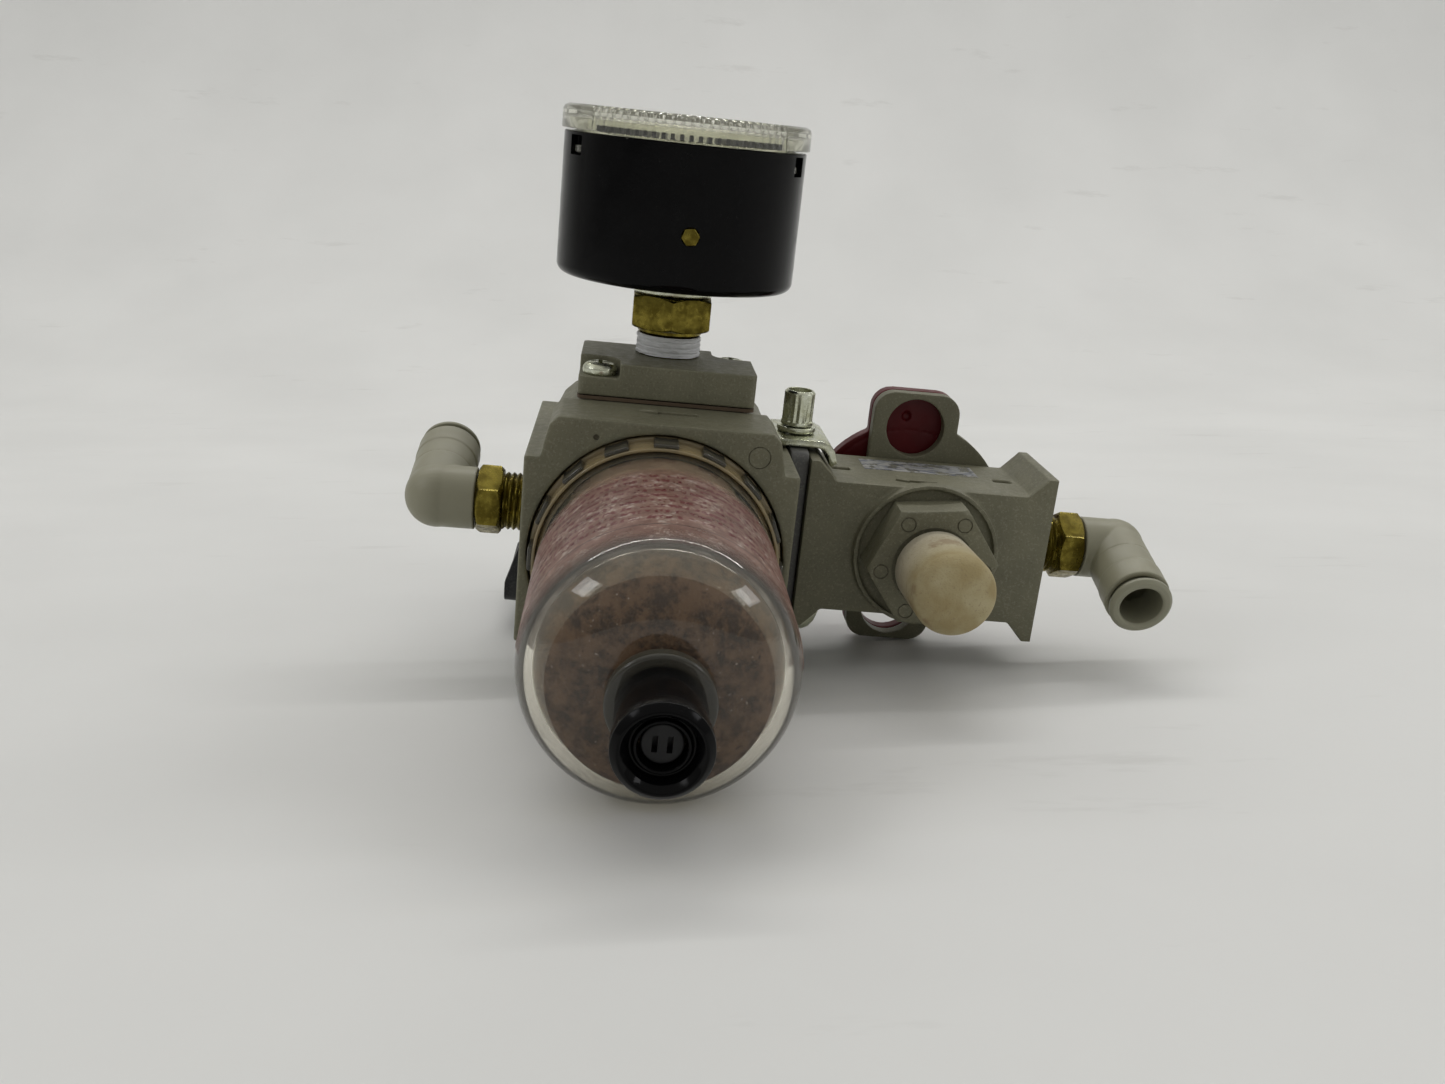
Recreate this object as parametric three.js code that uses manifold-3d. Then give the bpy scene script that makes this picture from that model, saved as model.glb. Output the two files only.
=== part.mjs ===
// Air pressure regulator: a filter regulator with a round gauge, clamped to a hand-turned shut-off
// valve, with a push-in elbow at each end. Millimetres. +X runs along the air line from the outlet
// elbow to the inlet elbow, +Y from the drain to the adjusting knob, +Z from the bracket to the gauge.
import * as THREE from "three";
import { mergeVertices } from "three/addons/utils/BufferGeometryUtils.js";
import Module from "manifold-3d";

const wasm = await Module();
wasm.setup();

// ---- driving dimensions ----
const GAP = 0.3; // between pieces that touch on the real object
const THIN_GAP = 0.15; // between flat faces that are bolted together

const BODY_HALF = 20; // regulator body, half its width over the flanges
const BODY_WAIST = 17.5; // half its width away from the flanges
const BODY_FACE = 20.3; // its gauge face, and its bracket face on the other side
const BODY_NEAR = -24.6; // the face that the bowl goes into
const BODY_FAR = 14; // the face that the bonnet sits on
const FLANGE_TOP = 14.2; // half height of its two flanges
const PORT_BORE = 5.15; // bore for a 1/8 thread
const THREAD = 4.86; // radius of a 1/8 thread
const BOWL_BORE = 18.8;
const NECK_BORE = 17.75;
const AXIS_BORE = 6;
const CHAMBER = 14; // diaphragm chamber radius
const CHAMBER_FLOOR = 9;
const SEAT_BORE = 3;
const ARROW_HEIGHT = 0.25;

const BOWL_FLANGE = 18.5;
const BOWL_NEAR = -64; // where the bowl's dome starts
const BOWL_RADIUS = 17;
const BOWL_WALL = 2.5;
const BOWL_END = -72.6;
const BOWL_NOTCHES = 16;
const DRAIN_END = -86.3;
const DRAIN_RADIUS = 5.6;

const ADAPTER = { x: 13.4, y0: -12, y1: 7, z0: 21.1, z1: 26.1 };
const GAUGE_Y = 0.8; // gauge axis
const STEM_FLATS = 12;
const CASE_FLOOR = 37.7;
const CASE_RIM = 58.5;
const CASE_RADIUS = 18.3;
const LENS_TOP = 62.3;
const LENS_RADIUS = 18.75;
const DIAL_Z = 54;
const CASE_SCREW = { x: 1.1, z: 46 };

const BRACKET_FOOT = -25.3; // the face that lies on the floor
const SHEET = 2.3; // bracket thickness
const BRACKET_HALF = 25;
const BRACKET_NEAR = 19.3;
const BRACKET_FAR = 51;
const SLOT = { width: 5.4, length: 12, x: 15, rows: [31, 43] };

const NECK = 16.5; // bonnet thread radius
const BONNET_FLANGE = 19.8;
const KNOB_RADIUS = 15;
const KNOB_NEAR = 37;
const KNOB_FAR = 67;

const SPACER = 3.2; // distance between the two bodies
const SPACER_REACH = 14.4; // half its height
const JOINT_X = BODY_HALF + SPACER / 2; // middle of the spacer
const CLAMP_SCREW_Y = -1;
const CLAMP_SHEET = 1.1; // thickness of the clamp's plates
const CLAMP_TOP = SPACER_REACH + GAP + CLAMP_SHEET;
const WASHER = 0.9; // thickness of the clamp screw's washer
const VALVE_HALF = 19.8;
const VALVE_RIDGE = 13.8; // half height of its bevelled flanges
const VALVE_X = BODY_HALF + SPACER + VALVE_HALF; // middle of the shut-off valve
const VALVE_CORE = 10.7; // half height of its body
const VALVE_NEAR = -11;
const VALVE_FAR = 7.3;
const VALVE_BORE = 7.8;
const LOCK_REACH = 22; // from the valve's axis to the ends of its lock ears
const LOCK_HALF = 7.3;
const LOCK_HOLE = 4.9;
const LOCK_CENTRE = 16.1;
const EXHAUST_FLATS = 18;
const EXHAUST_FACE = -17.8; // the hexagon's near face
const SILENCER_LEAN = 3; // degrees, from sitting askew in its thread
const SILENCER_RADIUS = 6.2;

const ELBOW_RADIUS = 5.2;
const ELBOW_REACH = 15; // from the port face to the middle of the bend
const ELBOW_LEG = 14.6; // from the middle of the bend to the mouth
const STUD_FLATS = 10;
const TUBE_BORE = 3.4; // for a 6 mm tube
const INLET_TILT = 15; // degrees, mouth down
const OUTLET_TILT = 14; // degrees, mouth up

const FINE = 28; // segments round a large turned piece
const MEDIUM = 16;
const COARSE = 12;

// ---- materials ----
const CAST_GREY = { color: 0x9c998f, roughness: 0.55, metalness: 0.35 };
const ELBOW_GREY = { color: 0xb9b5aa, roughness: 0.5, metalness: 0 };
const BUTTON_GREY = { color: 0xa6a597, roughness: 0.5, metalness: 0 };
const BLACK = { color: 0x16171a, roughness: 0.35, metalness: 0 };
const BLACK_STEEL = { color: 0x202124, roughness: 0.5, metalness: 0.4 };
const RUBBER = { color: 0x1c1c1c, roughness: 0.85, metalness: 0 };
const BRASS = { color: 0x9c7d2e, roughness: 0.35, metalness: 0.9 };
const ZINC = { color: 0xa7a89c, roughness: 0.35, metalness: 0.85 };
const STEEL = { color: 0xa9abad, roughness: 0.35, metalness: 0.9 };
const CLEAR = { color: 0xd8d2c4, roughness: 0.12, metalness: 0 };
const WHITE = { color: 0xe6e5e0, roughness: 0.6, metalness: 0 };
const FILTER = { color: 0xc9c2b2, roughness: 0.9, metalness: 0 };
const POROUS = { color: 0xc8bea0, roughness: 0.95, metalness: 0 };
const RED = { color: 0x8d1c22, roughness: 0.45, metalness: 0 };
const SPACER_GREY = { color: 0x77787c, roughness: 0.5, metalness: 0.1 };

// ---- solids ----
function solid(geometry) {
  const bare = geometry.clone();
  bare.deleteAttribute("normal");
  bare.deleteAttribute("uv");
  const merged = mergeVertices(bare, 1e-4);
  const corners = merged.index.array;
  const kept = [];
  for (let i = 0; i < corners.length; i += 3) {
    const [a, b, c] = [corners[i], corners[i + 1], corners[i + 2]];
    if (a !== b && b !== c && c !== a) kept.push(a, b, c);
  }
  return new wasm.Manifold(
    new wasm.Mesh({
      numProp: 3,
      vertProperties: Float32Array.from(merged.attributes.position.array),
      triVerts: Uint32Array.from(kept),
    }),
  );
}

function join(...pieces) {
  return pieces.reduce((whole, piece) => whole.add(piece));
}

function cut(whole, ...tools) {
  return tools.reduce((left, tool) => left.subtract(tool), whole);
}

function box(x0, x1, y0, y1, z0, z1) {
  const geometry = new THREE.BoxGeometry(x1 - x0, y1 - y0, z1 - z0);
  geometry.translate((x0 + x1) / 2, (y0 + y1) / 2, (z0 + z1) / 2);
  return solid(geometry);
}

// A piece turned about +Y from a closed outline of [radius, y] points.
function turnedGeometry(outline, segments) {
  const points = outline.map(([radius, along]) => new THREE.Vector2(radius, along));
  if (THREE.ShapeUtils.area(points) < 0) points.reverse();
  points.push(points[0].clone());
  return new THREE.LatheGeometry(points, segments);
}

function turnedY(outline, segments = FINE) {
  return solid(turnedGeometry(outline, segments));
}

function turnedX(outline, segments = FINE) {
  return solid(turnedGeometry(outline, segments).rotateZ(-Math.PI / 2));
}

function turnedZ(outline, segments = FINE) {
  return solid(turnedGeometry(outline, segments).rotateX(Math.PI / 2));
}

function rod(radius, from, to) {
  return [[0, from], [radius, from], [radius, to], [0, to]];
}

function tube(inner, outer, from, to) {
  return [[inner, from], [outer, from], [outer, to], [inner, to]];
}

function rodX(radius, x0, x1, y, z, segments = COARSE) {
  return turnedX(rod(radius, x0, x1), segments).translate([0, y, z]);
}

function rodY(radius, y0, y1, x, z, segments = COARSE) {
  return turnedY(rod(radius, y0, y1), segments).translate([x, 0, z]);
}

function rodZ(radius, z0, z1, x, y, segments = COARSE) {
  return turnedZ(rod(radius, z0, z1), segments).translate([x, y, 0]);
}

function outlineShape(points) {
  return new THREE.Shape(points.map(([u, v]) => new THREE.Vector2(u, v)));
}

function prism(shape, depth) {
  return new THREE.ExtrudeGeometry(shape, { depth, bevelEnabled: false, curveSegments: 5 });
}

// An outline in x and z, drawn out along Y.
function prismY(shape, y0, y1) {
  return solid(prism(shape, y1 - y0).rotateX(Math.PI / 2).translate(0, y1, 0));
}

// An outline in y and z, drawn out along X.
function prismX(shape, x0, x1) {
  const turn = new THREE.Matrix4().makeBasis(
    new THREE.Vector3(0, 1, 0),
    new THREE.Vector3(0, 0, 1),
    new THREE.Vector3(1, 0, 0),
  );
  return solid(prism(shape, x1 - x0).applyMatrix4(turn).translate(x0, 0, 0));
}

// An outline in x and y, drawn out along Z.
function prismZ(shape, z0, z1) {
  return solid(prism(shape, z1 - z0).translate(0, 0, z0));
}

function roundedShape(halfU, halfV, radius) {
  const shape = new THREE.Shape();
  shape.moveTo(halfU, -halfV + radius);
  shape.lineTo(halfU, halfV - radius);
  shape.absarc(halfU - radius, halfV - radius, radius, 0, Math.PI / 2);
  shape.absarc(-halfU + radius, halfV - radius, radius, Math.PI / 2, Math.PI);
  shape.absarc(-halfU + radius, -halfV + radius, radius, Math.PI, 1.5 * Math.PI);
  shape.absarc(halfU - radius, -halfV + radius, radius, 1.5 * Math.PI, 2 * Math.PI);
  return shape;
}

function hexShape(flats, turn = 0) {
  const corner = flats / Math.sqrt(3);
  const points = [];
  for (let i = 0; i < 6; i += 1) {
    const angle = turn + (i * Math.PI) / 3;
    points.push([corner * Math.cos(angle), corner * Math.sin(angle)]);
  }
  return outlineShape(points);
}

class Helix extends THREE.Curve {
  constructor(radius, from, to, turns) {
    super();
    Object.assign(this, { radius, from, to, turns });
  }

  getPoint(t) {
    const angle = 2 * Math.PI * this.turns * t;
    return new THREE.Vector3(
      this.radius * Math.cos(angle),
      this.from + (this.to - this.from) * t,
      this.radius * Math.sin(angle),
    );
  }
}

function coil(radius, wire, from, to, turns, stepsPerTurn) {
  const section = new THREE.Shape();
  section.absarc(0, 0, wire, 0, 2 * Math.PI);
  return solid(
    new THREE.ExtrudeGeometry(section, {
      steps: turns * stepsPerTurn,
      curveSegments: 3,
      extrudePath: new Helix(radius, from + wire, to - wire, turns),
    }),
  );
}

function part(name, body, look) {
  const mesh = body.getMesh();
  const geometry = new THREE.BufferGeometry();
  geometry.setAttribute(
    "position",
    new THREE.BufferAttribute(Float32Array.from(mesh.vertProperties), 3),
  );
  geometry.setIndex(new THREE.BufferAttribute(Uint32Array.from(mesh.triVerts), 1));
  geometry.computeVertexNormals();
  const item = new THREE.Mesh(geometry, new THREE.MeshStandardMaterial(look));
  item.name = name;
  return item;
}

// ---- filter regulator ----
function bodySection() {
  const half = [
    [BODY_HALF, FLANGE_TOP],
    [BODY_WAIST, FLANGE_TOP],
    [BODY_WAIST - 0.3, FLANGE_TOP + 2],
    [BODY_WAIST - 1, BODY_FACE - 1.4],
    [BODY_WAIST - 2.2, BODY_FACE],
  ];
  const upper = [...half, ...half.map(([x, z]) => [-x, z]).reverse()];
  return outlineShape([...upper, ...upper.map(([x, z]) => [x, -z]).reverse()]);
}

// The V groove behind each flange, which the clamp's hooks pull on.
function flangeGrooves() {
  const groove = outlineShape([
    [BODY_WAIST, FLANGE_TOP - 2.2],
    [BODY_HALF - 0.9, FLANGE_TOP],
    [BODY_HALF - 0.9, FLANGE_TOP + 1],
    [BODY_WAIST, FLANGE_TOP + 1],
  ]);
  const corner = prismY(groove, -8.5, 8.5);
  const across = corner.mirror([1, 0, 0]);
  return [corner, across, corner.mirror([0, 0, 1]), across.mirror([0, 0, 1])];
}

function flowArrow() {
  const shape = outlineShape([
    [-5, 0],
    [-2, 1.1],
    [-2, 0.4],
    [4.5, 0.4],
    [4.5, -0.4],
    [-2, -0.4],
    [-2, -1.1],
  ]);
  return prismZ(shape, -0.5, ARROW_HEIGHT);
}

function regulatorBody() {
  const block = prismY(bodySection(), BODY_NEAR, 6);
  const flanges = box(-BODY_HALF, BODY_HALF, 5, BODY_FAR - 1, -FLANGE_TOP, FLANGE_TOP);
  const seat = rodY(BODY_HALF, 5, BODY_FAR, 0, 0, FINE);
  const arrow = flowArrow().translate([0.5, -18.5, BODY_FACE]);
  return cut(
    join(block, flanges, seat, arrow),
    rodY(BOWL_BORE, BODY_NEAR - 1, -18.2, 0, 0, FINE),
    rodY(NECK_BORE, -18.4, -14.2, 0, 0, FINE),
    rodY(14.8, -14.4, -12, 0, 0, FINE),
    rodY(AXIS_BORE, -12.2, 5.5, 0, 0, MEDIUM),
    rodY(SEAT_BORE, 5, 10, 0, 0),
    rodY(CHAMBER, CHAMBER_FLOOR, BODY_FAR + 1, 0, 0, FINE),
    rodX(PORT_BORE, -BODY_HALF - 1, -11, 0, 0, MEDIUM),
    rodX(3, -11.5, -8.6, 0, 0),
    rodY(2.4, 0, 10, -10.4, 0),
    rodX(4.5, 10, BODY_HALF + 1, 0, 0, MEDIUM),
    rodY(2.6, -13, 1, 10.9, 0),
    rodZ(3, 9, BODY_FACE + 1, 0, GAUGE_Y),
    rodY(1.8, GAUGE_Y, 10, 0, 11),
    rodZ(PORT_BORE, -BODY_FACE - 1, -12.5, 0, GAUGE_Y, MEDIUM),
    rodZ(3, -13, -9, 0, GAUGE_Y),
    rodY(1.8, GAUGE_Y, 10, 0, -11),
    ...adapterScrewPlaces().map(([x, y]) => rodZ(1.7, BODY_FACE - 6, BODY_FACE + 1, x, y, 12)),
    ...flangeGrooves(),
  );
}

function bonnet() {
  const outline = [
    [15.6, 14.9],
    [BONNET_FLANGE, 14.9],
    [BONNET_FLANGE, 18.2],
    [BONNET_FLANGE - 0.8, 19],
    [NECK, 19],
    [NECK, 31.5],
    [NECK - 0.8, 32.2],
    [9.5, 33.5],
    [9.5, 46],
    [3.6, 46],
    [3.6, 42.5],
    [6.2, 42.5],
    [6.2, 33],
    [11.4, 30.5],
    [11.4, 17.5],
    [13.4, 16],
  ];
  return turnedY(outline);
}

function panelNut() {
  const outline = tube(NECK + GAP, 20.6, 21.9, 26.6);
  const notch = box(-1.5, 1.5, 21, 28, 18.9, 22);
  const notches = [];
  for (let i = 0; i < 8; i += 1) notches.push(notch.rotate([0, i * 45, 0]));
  return cut(turnedY(outline), ...notches);
}

function bracketLeg() {
  const shape = new THREE.Shape();
  const foot = BRACKET_FOOT;
  shape.moveTo(-BRACKET_HALF, foot);
  shape.lineTo(BRACKET_HALF, foot);
  shape.lineTo(BRACKET_HALF, foot + 4);
  shape.lineTo(BODY_FACE, -6);
  shape.absarc(0, 0, 21.2, -0.29, Math.PI + 0.29);
  shape.lineTo(-BRACKET_HALF, foot + 4);
  return prismY(shape, BRACKET_NEAR, BRACKET_NEAR + SHEET);
}

function mountingBracket() {
  const length = (BRACKET_FAR - BRACKET_NEAR) / 2;
  const plate = prismZ(roundedShape(BRACKET_HALF, length, 3), BRACKET_FOOT, BRACKET_FOOT + SHEET);
  const slots = [];
  for (const y of SLOT.rows) {
    for (const side of [-1, 1]) {
      const slot = prismZ(roundedShape(SLOT.length / 2, SLOT.width / 2, SLOT.width / 2 - 0.01), -30, -20);
      slots.push(slot.translate([side * SLOT.x, y, 0]));
    }
  }
  return cut(
    join(bracketLeg(), plate.translate([0, BRACKET_NEAR + length, 0])),
    rodY(NECK + GAP, 10, 30, 0, 0, FINE),
    ...slots,
  );
}

function adjustingKnob() {
  const outline = [
    [4.3, 47.6],
    [10.6, 47.6],
    [10.6, KNOB_NEAR],
    [KNOB_RADIUS, KNOB_NEAR],
    [KNOB_RADIUS, KNOB_FAR - 2.5],
    [KNOB_RADIUS - 2.5, KNOB_FAR],
    [0, KNOB_FAR],
    [0, 60],
    [4.3, 60],
  ];
  const groove = rodY(0.8, KNOB_NEAR - 1, KNOB_FAR - 4, KNOB_RADIUS + 0.4, 0, 6);
  const grooves = [];
  for (let i = 0; i < 20; i += 1) grooves.push(groove.rotate([0, i * 18, 0]));
  return cut(turnedY(outline), ...grooves);
}

function adjustingScrew() {
  const outline = [
    [0, 24],
    [2.7, 24],
    [3.1, 24.6],
    [3.1, 41.9],
    [5.6, 41.9],
    [5.6, 42.2],
    [3.3, 42.2],
    [3.3, 47],
    [4, 47],
    [4, 59],
    [0, 59],
  ];
  return turnedY(outline, COARSE);
}

function adjustingNut() {
  return turnedY(
    [
      [3.4, 31.6],
      [3.4, 27.2],
      [6.2, 27.2],
      [6.2, 29.8],
      [9.6, 29.8],
      [9.6, 31.2],
      [5.4, 31.6],
    ],
    MEDIUM,
  );
}

function diaphragm() {
  return turnedY(
    [
      [1.2, 14.15],
      [19.4, 14.15],
      [19.4, 14.75],
      [13.2, 14.75],
      [12.4, 15.3],
      [11.6, 14.75],
      [1.2, 14.75],
    ],
    FINE,
  );
}

function springSeat() {
  return turnedY(
    [
      [1.2, 15.05],
      [10.9, 15.05],
      [10.9, 16.1],
      [7, 16.1],
      [7, 17.6],
      [1.2, 17.6],
    ],
    MEDIUM,
  );
}

function poppet() {
  return turnedY(
    [
      [0, -9.6],
      [1.4, -9.6],
      [1.4, -1.4],
      [4.2, -1.4],
      [4.2, 1.2],
      [3.6, 4.1],
      [1.3, 4.6],
      [1.3, 13.8],
      [0, 13.8],
    ],
    COARSE,
  );
}

function valveGuide() {
  const body = turnedY(
    [
      [1.8, -56],
      [3, -56],
      [3, -15.6],
      [8.6, -15.6],
      [8.6, -12.4],
      [AXIS_BORE - GAP, -12.4],
      [AXIS_BORE - GAP, -6.4],
      [3.4, -6.4],
      [3.4, -11.6],
      [1.8, -11.6],
    ],
    MEDIUM,
  );
  return cut(body, rodX(1.3, -5, 5, -22, 0, 12), rodX(1.3, -5, 5, -40, 0, 12));
}

function deflector() {
  const cup = turnedY([
    [3.3, -17.5],
    [12.6, -17.5],
    [12.6, -24],
    [14, -24],
    [14, -16.9],
    [12.8, -15.9],
    [3.3, -15.9],
  ]);
  const window = box(-0.8, 0.8, -22.6, -18.2, 11, 16);
  const windows = [];
  for (let i = 0; i < 8; i += 1) windows.push(window.rotate([0, i * 45, 0]));
  return cut(cup, ...windows);
}

function baffle() {
  const plate = turnedY([
    [3.3, -55.6],
    [5, -55.6],
    [5, -53.4],
    [11.5, -52.4],
    [12.6, -50.6],
    [12.6, -50.2],
    [3.3, -51.8],
  ]);
  const scallop = rodY(1.8, -58, -48, 12.6, 0, 8);
  const scallops = [];
  for (let i = 0; i < 6; i += 1) scallops.push(scallop.rotate([0, i * 60, 0]));
  return cut(plate, ...scallops);
}

function quarterEllipse(centre, start, reach, depth, steps) {
  const points = [];
  for (let i = 0; i <= steps; i += 1) {
    const angle = (i * Math.PI) / 2 / steps;
    points.push([centre + reach * Math.cos(angle), start - depth * Math.sin(angle)]);
  }
  return points;
}

function bowl() {
  const inside = BOWL_RADIUS - BOWL_WALL;
  const outer = quarterEllipse(6.5, BOWL_NEAR, BOWL_RADIUS - 6.5, BOWL_NEAR - BOWL_END, 6);
  const inner = quarterEllipse(4.5, BOWL_NEAR, inside - 4.5, BOWL_NEAR - BOWL_END - 2.4, 5);
  const vessel = turnedY([
    [inside + 0.4, -14.6],
    [17.4, -14.6],
    [17.4, -15.2],
    [16, -15.2],
    [16, -17.2],
    [17.4, -17.2],
    [17.4, -18.6],
    [BOWL_FLANGE, -18.6],
    [BOWL_FLANGE, -27.4],
    [17.5, -28.2],
    ...outer,
    [3, BOWL_END],
    [3, BOWL_END + 2.4],
    ...inner.reverse(),
  ]);
  const notch = box(-1.4, 1.4, -29, -25.4, 17.6, 20);
  const notches = [];
  for (let i = 0; i < BOWL_NOTCHES; i += 1) notches.push(notch.rotate([0, (i * 360) / BOWL_NOTCHES, 0]));
  return cut(vessel, ...notches);
}

function bowlSeal() {
  const outline = [];
  for (let i = 0; i < 8; i += 1) {
    const angle = (i * Math.PI) / 4;
    outline.push([16.86 + 0.7 * Math.cos(angle), -16.2 + 0.7 * Math.sin(angle)]);
  }
  return turnedY(outline);
}

function drainCollar() {
  return turnedY(tube(3, 6.4, -75, BOWL_END - GAP), MEDIUM);
}

function drainValve() {
  return turnedY(
    [
      [1.1, -83.5],
      [2.6, -83.5],
      [2.6, -70],
      [4.4, -69.9],
      [4.4, -68.4],
      [2.4, -67],
      [1.1, -67],
    ],
    COARSE,
  );
}

function drainKnob() {
  return turnedY(
    [
      [2.9, -75.3],
      [DRAIN_RADIUS - 0.3, -75.3],
      [DRAIN_RADIUS - 0.3, DRAIN_END + 3],
      [DRAIN_RADIUS, DRAIN_END + 2],
      [DRAIN_RADIUS, DRAIN_END + 0.6],
      [DRAIN_RADIUS - 0.5, DRAIN_END],
      [DRAIN_RADIUS - 1, DRAIN_END],
      [DRAIN_RADIUS - 1.4, DRAIN_END + 0.6],
      [DRAIN_RADIUS - 1.4, DRAIN_END + 5],
      [2.9, DRAIN_END + 5],
    ],
    MEDIUM,
  );
}

function rearPlug() {
  const socket = prismZ(hexShape(4), -24, -17);
  return cut(rodZ(THREAD, -BODY_FACE + 0.3, -13.2, 0, GAUGE_Y, MEDIUM), socket.translate([0, GAUGE_Y, 0]));
}

function buildRegulator() {
  const regulator = new THREE.Group();
  regulator.add(
    part("regulator_body", regulatorBody(), CAST_GREY),
    part("bonnet", bonnet(), BLACK),
    part("panel_nut", panelNut(), BLACK),
    part("mounting_bracket", mountingBracket(), BLACK_STEEL),
    part("adjusting_knob", adjustingKnob(), BLACK),
    part("adjusting_screw", adjustingScrew(), STEEL),
    part("adjusting_nut", adjustingNut(), STEEL),
    part("adjusting_spring", coil(8.4, 1.1, 16.3, 29.6, 4, 11), STEEL),
    part("diaphragm", diaphragm(), RUBBER),
    part("spring_seat", springSeat(), STEEL),
    part("poppet", poppet(), BRASS),
    part("poppet_spring", coil(2.5, 0.35, -11.4, -1.6, 5, 8), STEEL),
    part("valve_guide", valveGuide(), BLACK),
    part("deflector", deflector(), WHITE),
    part("filter_element", turnedY(tube(6, 10, -49.9, -17.8)), FILTER),
    part("baffle", baffle(), WHITE),
    part("bowl", bowl(), CLEAR),
    part("bowl_seal", bowlSeal(), RUBBER),
    part("drain_collar", drainCollar(), CLEAR),
    part("drain_valve", drainValve(), BLACK),
    part("drain_knob", drainKnob(), BLACK),
    part("rear_plug", rearPlug(), ZINC),
  );
  return regulator;
}

// ---- gauge and its adapter ----
function adapterScrewPlaces() {
  const inset = 3.1;
  return [
    [-ADAPTER.x + inset, ADAPTER.y0 + inset],
    [ADAPTER.x - inset, ADAPTER.y1 - inset],
  ];
}

function adapterPlate(z0, z1) {
  const shape = roundedShape(ADAPTER.x, (ADAPTER.y1 - ADAPTER.y0) / 2, 1);
  return prismZ(shape, z0, z1).translate([0, (ADAPTER.y0 + ADAPTER.y1) / 2, 0]);
}

function gaugeAdapter() {
  const pocket = 3;
  const cuts = [rodZ(PORT_BORE, ADAPTER.z0 - 1, ADAPTER.z1 + 1, 0, GAUGE_Y, MEDIUM)];
  for (const [x, y] of adapterScrewPlaces()) {
    const side = Math.sign(x);
    cuts.push(rodZ(1.8, 20, 30, x, y, 12));
    cuts.push(rodZ(pocket, ADAPTER.z1 - 2.2, 30, x, y));
    const [x0, x1] = side < 0 ? [x - 9, x] : [x, x + 9];
    const [y0, y1] = side < 0 ? [y - 9, y] : [y, y + 9];
    cuts.push(box(x0, x1, y - pocket, y + pocket, ADAPTER.z1 - 2.2, 30));
    cuts.push(box(x - pocket, x + pocket, y0, y1, ADAPTER.z1 - 2.2, 30));
  }
  return cut(adapterPlate(ADAPTER.z0, ADAPTER.z1), ...cuts);
}

function adapterGasket() {
  return cut(
    adapterPlate(BODY_FACE + THIN_GAP, ADAPTER.z0 - THIN_GAP),
    rodZ(3.2, 20, 22, 0, GAUGE_Y),
    ...adapterScrewPlaces().map(([x, y]) => rodZ(1.8, 20, 22, x, y, 12)),
  );
}

// A pan-head screw along +Z with a cross recess, its head's underside at z = 0.
function panScrew(head, height, shank, length) {
  const body = turnedZ(
    [
      [0, -length],
      [shank, -length],
      [shank, 0],
      [head, 0],
      [head, height * 0.6],
      [head * 0.75, height],
      [0, height],
    ],
    COARSE,
  );
  const arm = head * 0.55;
  return cut(
    body,
    box(-arm, arm, -0.3, 0.3, height * 0.4, height + 1),
    box(-0.3, 0.3, -arm, arm, height * 0.4, height + 1),
  );
}

function gaugeStem() {
  const thread = rodZ(4.5, 21.6, 29.7, 0, 0, MEDIUM);
  const collar = rodZ(5, 29.6, 30.4, 0, 0, MEDIUM);
  const hex = prismZ(hexShape(STEM_FLATS, Math.PI / 6), 30.3, 35.5);
  const trimmed = hex.intersect(
    turnedZ([[0, 30.3], [6.2, 30.3], [6.95, 30.9], [6.95, 34.9], [6.2, 35.5], [0, 35.5]], MEDIUM),
  );
  const neck = rodZ(3.6, 35.4, 42, 0, 0);
  return cut(join(thread, collar, trimmed, neck), rodZ(1.5, 21, 40.5, 0, 0, 12), rodY(0.9, 0, 5, 0, 40, 10));
}

function threadTape() {
  return turnedZ(
    [
      [4.65, 26.4],
      [4.95, 26.4],
      [5.05, 27.2],
      [4.9, 28],
      [5, 29.2],
      [4.65, 29.2],
    ],
    MEDIUM,
  );
}

function gaugeWasher() {
  return turnedZ(tube(3.9, 6.4, 35.8, 37.1), MEDIUM);
}

function gaugeCase() {
  const inside = CASE_RADIUS - 1.4;
  const shell = turnedZ([
    [3.9, CASE_FLOOR],
    [CASE_RADIUS - 1.4, CASE_FLOOR],
    [CASE_RADIUS - 0.5, CASE_FLOOR + 0.4],
    [CASE_RADIUS - 0.1, CASE_FLOOR + 1.3],
    [CASE_RADIUS, CASE_FLOOR + 3],
    [CASE_RADIUS, CASE_RIM],
    [inside, CASE_RIM],
    [inside, CASE_FLOOR + 1.5],
    [3.9, CASE_FLOOR + 1.5],
  ]);
  return cut(shell, rodY(1.35, -20, -10, CASE_SCREW.x, CASE_SCREW.z, 16));
}

function gaugeLens() {
  const window = LENS_TOP - 1.5;
  const spigot = CASE_RADIUS - 1.7;
  return turnedZ([
    [0, window],
    [15.6, window],
    [15.6, 56.2],
    [spigot, 56.2],
    [spigot, CASE_RIM + GAP],
    [LENS_RADIUS, CASE_RIM + GAP],
    [LENS_RADIUS, LENS_TOP - 0.8],
    [LENS_RADIUS - 0.8, LENS_TOP],
    [0, LENS_TOP],
  ]);
}

function gaugePointer() {
  const hub = turnedZ([[0, 50.5], [0.8, 50.5], [0.8, 55], [2, 55], [2, 56.2], [0, 56.2]], COARSE);
  const arm = outlineShape([
    [-0.8, -4.5],
    [0.8, -4.5],
    [0.25, 13],
    [-0.25, 13],
  ]);
  return join(hub, prismZ(arm, 55.2, 55.8)).rotate([0, 0, 135]);
}

function gaugeMovement() {
  const plates = join(box(-7, 7, -4, 4, 43, 44.4), box(-7, 7, -4, 4, 48.6, 50));
  const posts = join(box(-6.5, -4.5, -3, 3, 44, 49), box(4.5, 6.5, -3, 3, 44, 49));
  return cut(join(plates, posts), rodZ(1.2, 42, 52, 0, 0, 12));
}

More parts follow.
